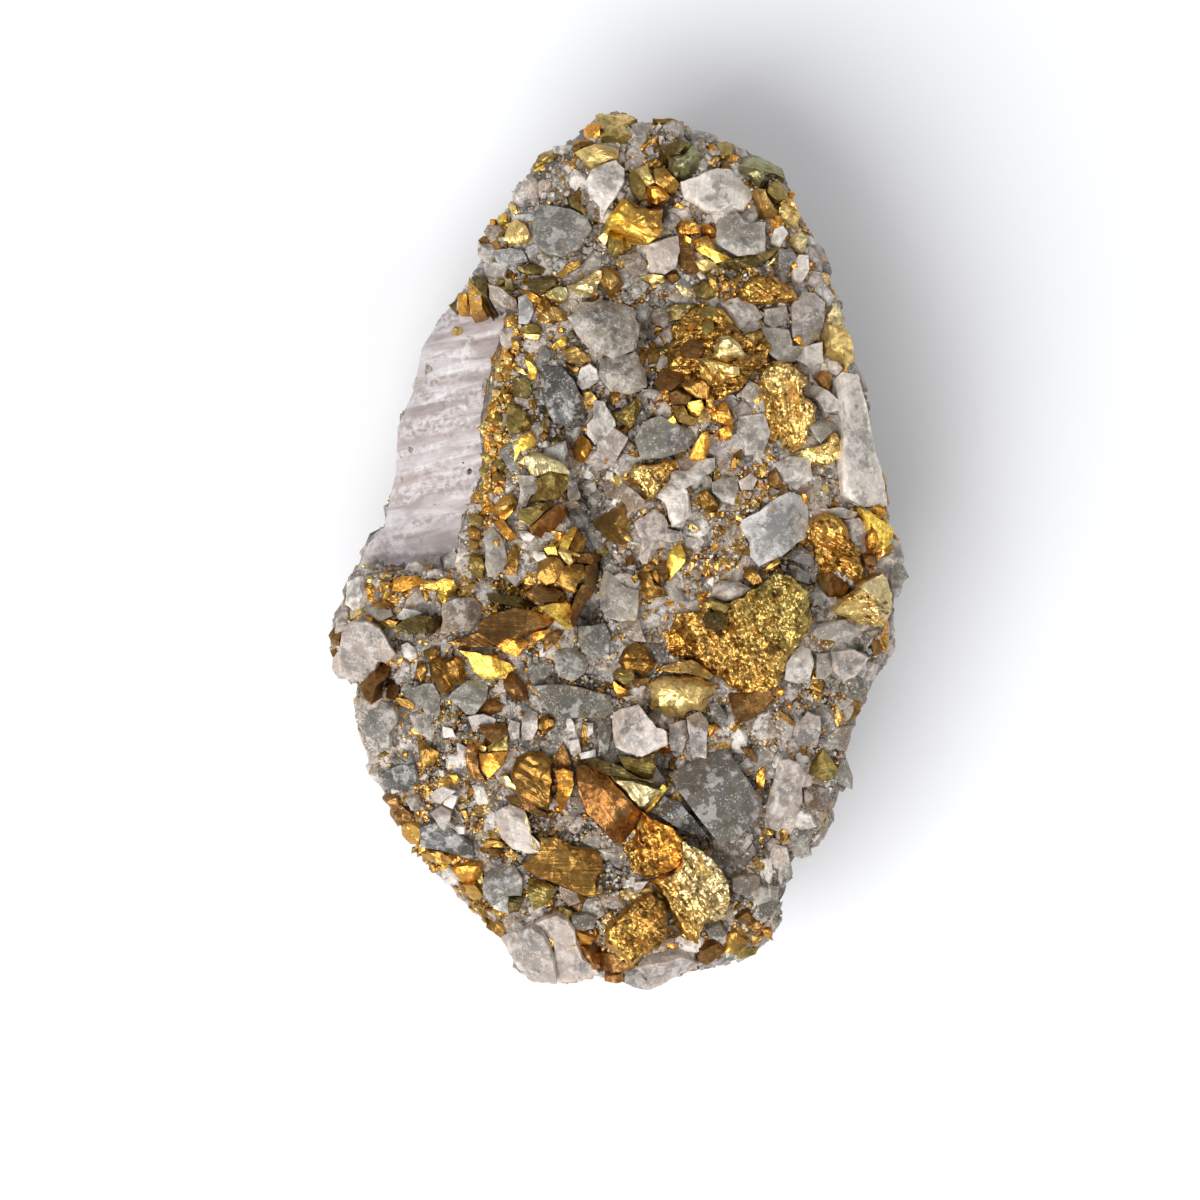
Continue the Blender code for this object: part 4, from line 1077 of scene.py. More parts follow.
# %% Middle, from -15 to 9 mm
MIDDLE = """
orange d 1.2 -14.6 5.1 -14 5.1 -14 4.6 -14.6 4.6
gold d@225 2.0 -12.8 4.2 -12 5 -11.2 5.6 -10.4 5.6 -10 4.8 -10.3 4 -11.4 3.3 -12.3 3.4
orange f 1.8 -12.4 2.9 -11.4 3.2 -10.9 2.4 -9.8 1 -10.2 .6 -11.4 1.3
orange f 2.0 -11.9 3.4 -10.3 4.5 -10.4 4 -11.4 2.9
olive f 1.9 -15 3.6 -14.2 3.8 -13.4 3.4 -13.7 2.4 -14.9 2.6
amber f 1.9 -15.1 2.4 -13.7 2.2 -13.8 1 -15 1.2
gold f 1.8 -15 1 -14 1 -14 0 -14.9 0
grey b 1.9 -13.5 2 -12.4 2.4 -11.4 1 -11 -1.2 -12 -2.6 -13 -2.6 -13.4 -1.4 -13.3 0
gold f 2.1 -12.6 .9 -11.8 1.2 -11.8 .4 -12.6 -.1
olive f 1.9 -14.9 -.4 -13.8 -.2 -13.4 -1.6 -13.6 -3 -14.6 -2.6 -15 -1.2
amber f 1.9 -10.6 .6 -9.8 -.2 -10 -1.8 -10.2 -2.7 -11.4 -2.4 -11.2 -1
pale f 1.5 -13.6 -3.5 -12.4 -3.4 -12.1 -3.9 -12.8 -4.1
orange f 1.6 -12.2 -3 -11.8 -3.3 -12 -3.9 -12.5 -3.6
orange f@225 2.0 -22.7 -3 -21.6 -2.6 -20.2 -2.5 -19.4 -3.2 -20.6 -3.9 -21.8 -4.2 -22.8 -4.1
gold f 2.0 -19.6 -3 -18.8 -2.9 -18.3 -3.1 -17.9 -3.9 -18.4 -4.2 -19.6 -3.8
bright f 2.1 -18.4 -3.2 -17.4 -2.8 -16.5 -3 -16.1 -3.7 -16.6 -4.7 -17.6 -5 -18.2 -4.6 -17.9 -3.8
grey b 1.6 -25.4 -5.8 -24 -5.6 -22.9 -5.8 -22.6 -6.6 -24 -7.2 -25.2 -6.4
white b 1.7 -22.4 -6.8 -21.6 -5.8 -20.2 -6 -19.6 -6.4 -20.6 -6.9 -22 -7
rust f 1.5 -25 -5.4 -23.6 -5 -22.4 -5.6 -22.6 -6.2 -24 -5.8
orange f 1.6 -25.6 -6.6 -24.6 -6.8 -24.8 -7.3 -25.5 -7
gold f 1.6 -24.6 -7.2 -23 -7 -22 -7.2 -22.4 -7.8 -23.8 -7.8
dark f 2.0 -22.6 -7.8 -21.4 -6.9 -20 -6.5 -18 -6.8 -16.9 -7.2 -18 -7.8 -18.4 -8.4 -20.8 -8.4 -22.4 -8.2
tan b 2.0 -17.6 -5.4 -16 -4.8 -14.4 -4.8 -13.6 -5.6 -13.8 -7.2 -14.8 -8 -16.4 -8.2 -17.8 -8.4 -17.6 -7
brown f 1.4 -29.4 -8.6 -28.8 -7.8 -28.3 -7.7 -27.8 -8.2 -28.2 -9.2 -28 -9.8 -28.8 -9.6
brown f 1.4 -29.2 -10.2 -28.6 -9.9 -28.2 -10.4 -28.9 -10.8
pale f 1.5 -27.2 -6.2 -26 -5.8 -25.8 -6.4 -27.1 -7
lilac b 2.4 -27.8 -8 -26.8 -7.1 -25.2 -7.2 -24 -7.8 -23.2 -9 -22.4 -10.4 -23.2 -11.4 -24.2 -11.2 -24.8
 -12.9 -26 -13.3 -28.4 -13 -29 -12 -28.9 -11 -28.2 -10
gold f 2.3 -25.3 -10.4 -24.7 -10.4 -24.6 -11 -25.2 -11
white b 1.4 -27.4 -3.2 -26.2 -2.6 -25.7 -4.6 -26.4 -6.4 -27.6 -5.4
olive f 3.0 -8.4 7 -6.9 8 -5.8 7.8 -4.8 7.4 -5 6.4 -5.8 5.2 -7 5 -8.8 4.8 -8 6.2
olive f 3.0 -9.9 4 -7 4.9 -5.8 5.2 -7 4.2 -8.8 2.3 -9.8 3
copper f@250 2.6 -8.8 2.3 -6.8 4.2 -5.6 4.9 -5.1 3.6 -5.6 2.6 -7.6 1.2 -8.6 1.6
grey b 2.2 -9.9 7.6 -8.6 7.6 -7.4 6.8 -7 6.2 -8.6 5.6 -9.2 4.4 -10 4.4 -9.7 6
gold f 2.6 -8.2 5.5 -7.4 6 -7.6 5.4
grey b 2.0 -5.2 7.4 -4.2 7.2 -3.6 5.4 -4.6 4.6 -5 5.6
grey b 1.6 -3.4 6.6 -2.2 7.1 -1.9 6.2 -2.6 5.4 -3.4 5.8
white b 1.8 -1.2 7.2 -1 8 -.4 7.9 -.3 7.2
tan b 1.7 -1.6 7 0 7 1 6.6 2.8 5.1 2.8 4.4 1.4 3.8 .6 5 -1 5.4
gold r 2.2 1.6 8.6 2.4 8.8 3.6 8.4 4.6 8.5 5.1 9.2 6 9.1 6.3 8.4 5.2 7.8 4.9 7.2 4.1 6.2 3.6 5.2 2.6 5.8
 1.2 6.7 1 7 1.7 7.4
white d 2.5 4.2 5.6 5 6.6 5.6 8 7 8 8 9 9.8 9.3 10 8.2 8.6 7.8 7.2 7.4 6.7 6.2 7.5 5 7.4 3.4 6.8 2.2 5.4
 2.4 5.2 4
pink d 2.3 1.8 2.6 2.6 3.4 3.6 4.2 4.6 3.6 5.2 2.2 6.6 1.8 6.5 1 5.2 .6 4.2 .2 3.4 -.8 2.8 -1.8 2.1 -.9
 2.6 .8
amber f 2.0 8.2 5.8 8.8 6.2 9.4 5.8 10.4 4.4 10 3.8 9.2 3.7 8.6 4.4
bronze p 2.5 -2.5 2.4 -2.2 3.2 -1 4 .2 4.6 .8 4.8 1.1 4 1.6 3 1.2 1.9 1.6 1 .6 .5 -1 1 -2.2 1.8
bright f 2.9 -6.6 .8 -6.2 .4 -5.9 -.6 -7 -.5 -7.4 .2
bright f 3.1 -6.1 .7 -5.2 1.7 -4.5 2.4 -4 2.3 -4.6 .8 -4.9 0 -5.2 -.3
pale f 3.0 -5.8 .4 -4.8 0 -4.3 -1.2 -4.7 -1.5 -5.2 -1.2 -6 -.2
amber f 2.8 -4.8 .4 -4 2 -3.1 1.2 -3.4 -.2 -4.2 -.2
brown f 2.6 -4.4 -.4 -2.6 -.2 -1.4 -.8 -2.2 -1.4 -4 -1.3
amber f 3.0 -8 -1.2 -6.9 -.7 -5.7 -.8 -5.2 -1.8 -6.3 -3.4 -7.2 -3.6 -8.1 -2.8
white b 2.0 -8.4 0 -7.4 -.2 -6.9 -.8 -8 -1.1 -8.5 -.6
white b 1.9 -9.9 1.9 -9 2 -8.2 1.4 -8.6 .9 -9.6 1.2
amber f 3.2 -5.9 -2 -4.8 -1.3 -3.4 -1.4 -3 -2.4 -3.8 -3.3 -4.2 -4.3 -5.4 -4.2 -6.4 -3.6
brown f@20 2.4 -3.2 -1.6 -2.2 -1.2 -1.8 -2.2 -2.2 -4.2 -3.4 -5.6 -3.9 -6.8 -4.4 -8 -4.8 -7 -4.2 -4.6
 -3.1 -3
brown f@90 3.1 -9.2 -4.2 -8 -3.6 -6.4 -3.7 -5.4 -4.4 -6.2 -5.2 -8.3 -5.4 -9 -4.8
bright f@250 3.3 -7.9 -5.7 -6.4 -5.3 -5 -5.2 -4.6 -5.4 -4.2 -6.8 -4.4 -7.9 -5.1 -7.9 -6.4 -6.9
brown f@70 3.4 -14 -7.4 -12.6 -6.4 -10.4 -5.8 -8.6 -6 -6.2 -6.9 -6.4 -7.6 -8 -8.2 -9.6 -8.9 -11.4 -8.9
 -12.2 -9.6 -13.8 -8.4
orange f@260 3.0 -12.2 -9.6 -11.6 -8.9 -9.6 -8.8 -8.8 -9.4 -10 -10.8 -11.4 -10.3
orange f@280 2.8 -8.8 -8.4 -6.4 -7.8 -7.4 -8.9 -8.2 -9.2
brown f@45 2.4 -7.4 -9 -6.2 -7.9 -5.2 -8 -6.2 -9.4 -7.4 -10.4
dark f@90 1.8 -13.2 -4.2 -10 -4.6 -8.6 -5.2 -8 -5.7 -10 -5.8 -13 -5
grey b 2.8 -1.3 -2 -.2 -2.6 .9 -3.7 2.2 -4 2.2 -5.6 2 -7 .4 -7.2 -.9 -6.8 -1.7 -5.8 -1.8 -4.2 -1.5 -2.8
tan f@280 2.2 .2 -7.2 2.3 -7 2.7 -8.4 3 -9.2 1.8 -9.2 .6 -8.2
bright f@225 2.6 5 -.6 5.6 .2 6.4 .6 6.8 -.2 6.9 -1.2 6.4 -1.7 5.9 -2.4 5.2 -3 5 -1.9
brown f 2.2 3.8 -1.6 4.9 -1 5.2 -2.8 4.8 -3.6 4.2 -2.8
orange f 2.2 3.4 -2.6 3.9 -1.9 4.3 -2.8 4.2 -3.4
gold f 2.0 1.4 -2.8 2 -2.2 2.2 -2.8 1.8 -3.4
amber f 2.2 2.2 -2.2 3.4 -2.2 3.8 -3.4 4.8 -3.8 5.1 -4.6 3.6 -4.9 2.6 -4.2 2.2 -3.2
rust d 1.8 .9 -.8 1.4 -.5 1.9 -.9 1.6 -1.5 1 -1.5
orange d 1.2 8.5 0 9 .1 9.1 -.4 8.6 -.5
orange d 1.2 9 -2.3 9.5 -2.2 9.6 -2.7 9.1 -2.8
quartz b 2.4 -3.9 -7.6 -2.6 -7.6 -1.2 -7.3 -.6 -8.6 -.8 -10.2 -2.2 -11 -3.6 -10.2 -4 -9
quartz b 2.0 -6.2 -10.2 -5.4 -9.8 -4 -10 -2.7 -11 -3 -12.2 -4.4 -13.2 -5.8 -12.8 -6.2 -12
gold f 1.2 10.3 3.9 10.9 3.9 10.9 3.3 10.3 3.3
brown f 2.2 11.2 -14.4 13 -14.4 15.4 -14 16 -15 15 -16.2 13.2 -17.2 12.2 -17.4 11.6 -16.4
orange f 2.1 16.1 -14 16.9 -13.8 16.8 -14.6 16.4 -14.9
gold f 1.8 16.2 -16 17 -16.6 18.6 -17.9 17.4 -17.6 16.6 -16.9
orange f 1.8 17 -15.2 17.8 -15.8 17.6 -16.4 17.1 -15.7
pink d 2.6 9.2 -4.6 10.4 -3.2 12.4 -3.2 13.6 -3.8 12.4 -4.8 11 -5.2
olive r 3.6 8.4 -5.2 9.4 -4.8 11 -5.2 12 -5.6 10.8 -6.6 8.8 -6
blue b 2.9 12.2 3 14.4 4 15.8 5.2 17.4 5.9 18.6 5.6 19.4 4.4 19.4 2.6 19.2 1.2 18.4 .9 16.6 -.6 15.6 -1
 14.4 -1.6 13.4 -.6 13.4 .8 12.6 2.2
grey b 2.3 9.6 6.8 10.6 7.4 12.2 7.4 12.3 6.2 11.8 4.6 10.6 4.9 9.6 5.8
pink b 1.9 12.3 7 13.6 7.8 14.2 7.2 13.8 6.2 12.5 6.1
amber f 2.0 11.4 8 12 8.2 12.6 9.4 12.4 10.4 11.6 9.4
rust f 1.9 15.2 7.4 16 8.4 16.8 6.8 16.4 6.2 15.2 6.6
orange f 1.7 17.6 8.6 18.1 8.8 18.6 8 18.2 7.6
orange f 2.2 18.6 5.8 19.1 5.8 19.5 5 19 4.7
white d 1.6 16 8.6 17.4 9.6 19.4 9.4 19.8 7.2 18.2 6.2 17 6.8
white b 2.0 20.4 4.2 22.8 4.4 24.4 3.9 24 3.2 21.8 3.4
pink b 1.9 23 3.1 24.6 3.4 25.4 2.2 25.4 .6 24.2 .5 23.4 1.4
gold r 2.4 19.6 3.2 20.4 3.6 21.4 3.4 22.6 3.2 23.2 2.4 23.6 1.2 23 .2 24 -.8 22.6 -.8 21.4 -1 20.6 -1.6
 19.9 -.8 19.8 1
bright f 2.2 24.6 4.4 25.4 3.8 27 3 28.2 2 27.8 .8 27.2 .1 25.6 .2 25.5 1.8 25.1 3.2
grey d 1.6 27.4 .4 28.2 1.4 29 .6 29.4 -.6 29.1 -1.6 28 -1.6 27.5 -.6
grey d 1.6 27.6 -2 29.1 -1.9 29.4 -3 28.8 -4.6 28.2 -5 27.8 -4.2
brown f 1.8 24.8 -.2 26.4 -.2 26.2 -1.6 25.2 -1.4
gold f@225 2.2 22.2 -1.6 23.4 -.4 24.2 -.2 24.8 -1.6 25.4 -3 24.4 -3.4 23.6 -2.8
brown f 2.2 20.2 -2.4 21.6 -2.2 23.2 -3 23.6 -3.6 23 -4.8 21.2 -4.6 20.4 -3.4
silver f 2.4 24.4 -3.6 25.4 -3.1 26.8 -2.3 27.4 -3.2 27.9 -4.4 27.8 -6.4 27 -7.6 26.6 -5.6 26.2 -4.6
 25.2 -4.2
pale r 2.2 21.4 -5.8 22.6 -4.8 24.2 -4.6 25.8 -4.8 26.6 -5.8 27.2 -7.7 25.8 -7.6 24.2 -7.2 22.6 -6.4
grey b 2.1 20.2 -7.4 21.4 -7.2 23 -7 24.8 -8 23.6 -9.4 20.6 -9 19.8 -8.4
smoke f 1.9 24.8 -8.2 26.4 -8 26 -9.2 25 -10.4
brown f 1.8 25.6 -8.8 26.8 -9 27 -10.4 26.2 -10.8
smoke b 2.2 16.8 -.6 18.6 .6 19.8 -.4 20 -1.8 18.2 -1.2
grey b 2.2 17.4 -1.4 18.4 -1.6 19.6 -2.4 19.4 -3.4 18 -3
gold f 2.8 14.8 -2 16.2 -.6 16.6 -1.2 15.2 -2.2
amber f 2.8 12.8 -1.6 14.2 -2 14.8 -3.2 13.8 -3.6 12.9 -2.8
"""

# %% [markdown]
# ## The crystals below the middle
# Below the big tetrahedron the face is paler: lilac-brown calcite with white blocks, a
# rounded pale-gold crystal, a large grey-green cleavage rhomb, a striated amber crystal beside
# a bright orange one, and a copper-coloured face that leads down to the largest gold mass.

# %% Lower middle, from -29 to -8 mm
LOWER_MIDDLE = """
white b 1.8 -21.8 -9.6 -21.2 -9.2 -20.4 -9.8 -20.2 -10.8 -20.9 -11.2 -21.5 -10.8
white b 1.6 -21.6 -11.8 -21 -11.6 -20.9 -12.4 -21.5 -12.3
amber f 1.9 -19.6 -10.2 -18.6 -9.8 -17.8 -10.2 -18.2 -11 -19.4 -11
amber f 1.8 -20.2 -11.2 -19.4 -11.4 -19.2 -12.4 -19.8 -13.3 -20.4 -12.6
amber r 2.4 -19.2 -11.2 -18 -10.9 -16.4 -10.8 -15.6 -11.6 -15.3 -13.2 -16.4 -13.8 -17.2 -14.6 -18.2 -14
 -18.8 -12.8
bright f 2.6 -16.3 -11.2 -15.7 -11.6 -15.4 -13 -15.9 -13.4
brown f 2.2 -17.4 -9.4 -15.4 -8.6 -14 -8.2 -12.2 -9 -12.4 -9.8 -15.6 -9.8
bright f@250 3.0 -16 -10 -14.4 -10.2 -12.6 -10.6 -10 -11.8 -11 -12.4 -12.4 -13.1 -13.4 -12.9 -14.6 -12.2
 -15 -10.8
quartz b 1.9 -17.2 -15 -16.6 -14.2 -15.2 -13.1 -13.6 -12.9 -13 -13.8 -13.2 -15.2 -14.4 -16.6 -15.2 -16.6
 -16 -15.7
quartz b 1.8 -21 -14 -19.6 -13.4 -18.6 -13.4 -17.8 -14.8 -18 -16.4 -19.2 -16.8 -20 -15
brown d 1.8 -11.6 -13.2 -10.4 -12.2 -9.2 -13.6 -9 -15 -10.2 -15.4 -11.2 -14.6
rust d 1.7 -13.6 -15.2 -12.6 -15 -11.4 -15.6 -11.6 -16.4 -12.8 -16.6 -13.8 -16
lilac b 1.8 -15 -16.8 -13.4 -16.4 -12.2 -17 -12.4 -17.6 -13.6 -17.8 -14.6 -18.3
brown f 2.0 -14 -17.7 -11.2 -17.4 -11 -18.6 -12.4 -19.6 -13.4 -18.8
olive f@80 2.6 -13.2 -19.8 -12 -19 -11.1 -18.4 -11 -20.2 -13 -20.3
orange f@225 2.6 -13.9 -20.5 -12.4 -20.3 -10.9 -20.2 -11.4 -21.6 -13 -23.1 -13.6 -22.2 -13.9 -21.2
pale f 2.3 -13.8 -19.6 -13.2 -19.8 -13.2 -20.3 -13.8 -20.2
rust f 2.0 -15.2 -19.6 -14 -19.6 -14 -22 -13.2 -23.4 -14.6 -23.2 -15.2 -22
brown f 1.7 -23.6 -13.6 -22.8 -13 -22 -14 -22.4 -15.2 -23.4 -15
gold f 1.7 -23 -14.8 -21 -15 -20.4 -15.6 -20.6 -16.2 -22 -15.6
gold f 1.3 -22.7 -15.7 -22.1 -15.7 -22.1 -16.2 -22.7 -16.2
orange f 1.3 -21.8 -16.4 -21.2 -16.5 -21.2 -17 -21.8 -17
brown f 2.0 -26.2 -13.6 -24.6 -12 -23.8 -11.2 -23 -11.8 -23.6 -13.2 -24.4 -13.8 -24.8 -15.6 -25.6 -15
quartz b 2.0 -25.2 -16 -24 -15.2 -22.6 -15.8 -22.2 -17.2 -23 -18.4 -23 -20 -24.4 -20.8 -25.4 -19.4 -25.8
 -17.8
pink b 1.5 -26.6 -15.6 -26 -14.8 -25.2 -15.6 -26 -16.6 -26.6 -16.2
amber f 1.9 -20.2 -19.3 -19.4 -19.2 -18.9 -19.8 -18 -20.4 -18 -21 -18.6 -21.8 -19.6 -22 -20 -21
gold f 1.3 -21.8 -20.4 -21.2 -20.5 -21.3 -21 -21.8 -21
slate b 1.7 -24 -22.6 -22 -21.6 -20.4 -21.8 -20.2 -23.4 -21.6 -24.4 -23.6 -24.2
bright f 1.6 -17.1 -22.7 -16.2 -22.6 -15.8 -23.2 -16.4 -23.9
white b 1.7 -17.6 -17.8 -16.6 -18 -16.2 -18.8 -17.6 -19
white d 1.7 -16 -19.4 -15 -20 -15 -21.4 -15.6 -21.8 -16.2 -20.8
white b 2.2 -17.6 -25.7 -17 -24.6 -16 -24.9 -16.6 -26.2
lilac b 1.8 -18.8 -24.6 -17.6 -23.8 -16.2 -24.4 -17 -24.8 -17.8 -25.6 -18.8 -25.4
lilac b 1.8 -19 -26.6 -17.8 -25.8 -16.8 -26.4 -17 -27.6 -15.6 -28.6 -17.6 -28.4
brown r@45 1.7 -23.8 -25 -22.4 -24.6 -22 -25.8 -20.6 -26.6 -20.4 -27.6 -22.4 -28
grey b 1.9 -21.4 -25.2 -20.4 -25 -20 -26 -20.8 -26.4
gold f 1.5 -15.9 -26.3 -15.2 -26.3 -15 -27.2 -15.4 -27.2
silver f 2.1 -12 -22.8 -11 -22.6 -10.2 -23.8 -9.9 -24.8 -11.2 -24
amber r@60 2.9 -10.7 -22.2 -10.2 -21 -8.8 -20.3 -7.4 -20.4 -6.5 -21.2 -6.4 -22.6 -6.3 -24.4 -6.6 -25.4
 -7 -26.4 -8.4 -25.8 -10 -24.9 -10.4 -23.6
orange f@300 2.8 -6.3 -22.1 -5.4 -21.9 -4.4 -22.3 -4.3 -23.6 -4.9 -25.2 -5.6 -26.4 -6.1 -25.2 -6 -23.6
rust f 2.0 -6.2 -20.4 -5.4 -19.4 -4.9 -20.4 -4.6 -21.6 -5.6 -22 -6.2 -21.6
amber f 1.8 -8.1 -17.2 -7.2 -16.6 -6.3 -17.2 -6.4 -18 -7.2 -18.6 -8 -18
lilac b 1.9 -9.6 -19.2 -9.6 -17 -8.8 -16 -8 -16.4 -8 -18 -8.6 -19.2
grey b 1.7 -11 -18.2 -10.8 -17 -9.8 -17.4 -9.8 -19 -10.8 -19.2
orange d 1.4 -10 -16.1 -9.4 -16.1 -9.4 -16.7 -10 -16.7
smoke b@60 1.5 -8.4 -13.6 -6.4 -13.4 -3.6 -13.8 -.6 -14.6 -.4 -16 -1.2 -17 -3.6 -16.8 -5.2 -17 -5.6 -18
 -6.4 -16.6 -7.6 -15.2
smoke b@60 1.4 -1.9 -17.2 -.6 -16.8 -.6 -19 -1 -20.6 -1.9 -20.8
white b 1.8 -5.2 -17.2 -4.8 -16.6 -4.2 -17.6 -4.2 -18.4 -5 -18
white b 1.8 -3.4 -17.4 -2.4 -17.4 -2.4 -18.4 -3 -19
pink b 1.8 -5 -19.2 -3.8 -19 -3.6 -20.4 -4.6 -20.6
white b 1.8 -3.8 -20.4 -2.2 -20 -2.1 -20.8 -3.6 -21
amber f 1.9 -3.5 -17.4 -3 -17.6 -3 -19.8 -3.6 -19.9
copper f@250 3.3 -4.1 -21.6 -3 -21.6 -.9 -22.7 .4 -24.2 1.6 -25.4 2.6 -26.5 1.6 -28.2 .8 -29.6 -.4 -29.4
 -1.4 -28.2 -3 -26.6 -4 -24.2
silver r 3.2 -.8 -22.7 1.4 -22.9 3.2 -23.6 4.6 -24 3.6 -25.4 2.9 -26.3 2.2 -26 1.2 -25 .4 -24.1
bright f 3.0 4.6 -23.6 5.2 -24 3.6 -26 3 -26.6 2.8 -26.2
dark f@80 2.8 -4 -21.3 -2.2 -20.9 .2 -21.6 2.4 -23 4.6 -23.6 1.4 -22.9 -1 -22.6
pink b 3.0 -.4 -16.4 .8 -15.9 2.2 -15.5 3.2 -16.8 4 -17.8 5 -18.2 5.1 -19.6 3.8 -20.2 2.6 -20.8 1 -20.4
 -.1 -19.8 -.5 -18.2
olive f@225 2.2 -.1 -20.6 2.2 -21 3.8 -20.4 4 -22 3.6 -23 2.8 -23.1 .8 -22
gold f 2.4 2.6 -21.2 3.8 -21 3.9 -22.4 3.4 -22.9
lilac b 2.2 5.2 -17.6 7 -17 7.2 -18.6 6.6 -20.4 5.4 -20.2
lilac b 2.0 7 -16.8 8.4 -16.2 9.2 -17.4 9.1 -19.4 9 -21 7.6 -20.8 7.2 -18.6
orange d 1.7 4.9 -20.1 5.5 -20.1 5.5 -20.7 4.9 -20.7
amber r 2.2 .1 -11.2 .8 -10 2.2 -9.2 3 -9.9 3.8 -11.4 3.6 -12 2.6 -12.8 1.8 -12.4 .4 -12
olive f 2.0 -.4 -12.2 1.6 -11.6 1.8 -13 .8 -13.6 -.4 -12.8
orange f 2.0 -.4 -13 .6 -13.8 1.6 -14.6 .2 -14.9 -.3 -14
brown f 2.1 1.2 -13 3.4 -12.8 3.2 -13.4 1.8 -13.8
pale d 2.8 3.5 -13.2 4.6 -12.6 6.6 -12.6 8.4 -12.8 9.8 -13.4 10 -14.4 9.2 -15 9 -16.2 7.6 -16 6.6 -16.9
 4.6 -16.5 3.4 -15.9 3.4 -14.6
bronze f@80 3.0 4.2 -11.8 6 -11.2 7.6 -11 9.8 -12.6 9.4 -13 7 -12.4 4.6 -12.2
smoke b 2.0 9.3 -15.4 10.2 -15.2 11.2 -16.8 10.8 -18 9.6 -17.2
orange f 1.9 9 -17.6 9.9 -17.6 9.8 -18.6 9.3 -18.8
smoke b@60 2.9 5.2 -22.6 8 -21.2 10.2 -20 11 -19.8 13 -22.8 14.6 -25.2 14.6 -26.6 13.6 -27.6 12 -29.2
 10.2 -29.4 8.4 -27.2 6.4 -24.4
gold f 3.1 8 -22.9 8.6 -22.9 8.6 -23.5 8 -23.5
slate f@240 2.2 4.8 -24.8 6.2 -25.2 7.8 -27 9.4 -29.2 7.4 -28.6 6 -28 4 -26.6 3.4 -26.4
white b 2.2 17.1 -11.4 18 -10.2 18.6 -9.6 19.6 -10 19.9 -11.4 19.6 -12.9 18.4 -13.6 17 -13
grey b 2.1 20.2 -10.4 21.8 -10.3 22.6 -11.6 21.2 -13 20.2 -13
lilac b 2.1 21.8 -10.2 24 -10 25.6 -10.8 24.4 -12.6 23 -13.4 22 -12
lilac b 1.8 24.2 -12.4 25.6 -11.2 26.6 -11.6 26.2 -13 25 -13.4
amber r 2.0 23.6 -14.2 24.8 -14 25.2 -14.6 24.8 -16.4 24.2 -17.2 23.4 -16.4 23.4 -15
lilac b 2.0 18.4 -17.4 19.4 -16.3 20.6 -16.8 20.7 -18.6 20.2 -20 18.4 -19.8
tan b 1.8 21 -19.4 22.2 -18 23.8 -17.8 23.9 -19 23.4 -20.4 22.4 -20.2
brown f 1.8 12.4 -19.9 13.6 -20 14.2 -21.4 13.6 -21.2
orange f 2.0 14.1 -22.6 14.9 -21.8 15.1 -22.4 14.9 -24 14.2 -24.2
orange f 2.0 13.6 -24 14.4 -24.4 14.8 -25.2 13.9 -25.2
lilac b 2.4 16.4 -21.2 17.4 -21 18.6 -21.6 19.2 -22.8 18.8 -24 18.8 -25.6 18.2 -27 16.4 -27 15.2 -26.6
 15.2 -25.8 15.8 -23.4
olive f 2.0 19.4 -22.2 20.2 -21.2 21 -20 21.8 -21 22.6 -22.4 22 -23.2 20.6 -23.2 19.4 -22.6
orange f 1.8 22.6 -22.2 23.2 -22 23.2 -22.6 22.8 -22.8
smoke b 1.8 22 -23.2 23.2 -22.8 23.4 -24 23 -24.6 22 -24
umber b 1.9 19 -24.4 20.4 -23.8 21.6 -24.4 21.9 -25.4 21.2 -26.4 19.4 -26.2
"""

# %% [markdown]
# ## The crystals at the broad end
# The lower end is where the ore is richest. The largest gold mass folds like foil from copper
# orange to silver, an amber crystal with a flat top stands left of it, two pale blocks make
# the bottom edge, and a white lens of calcite closes it below.

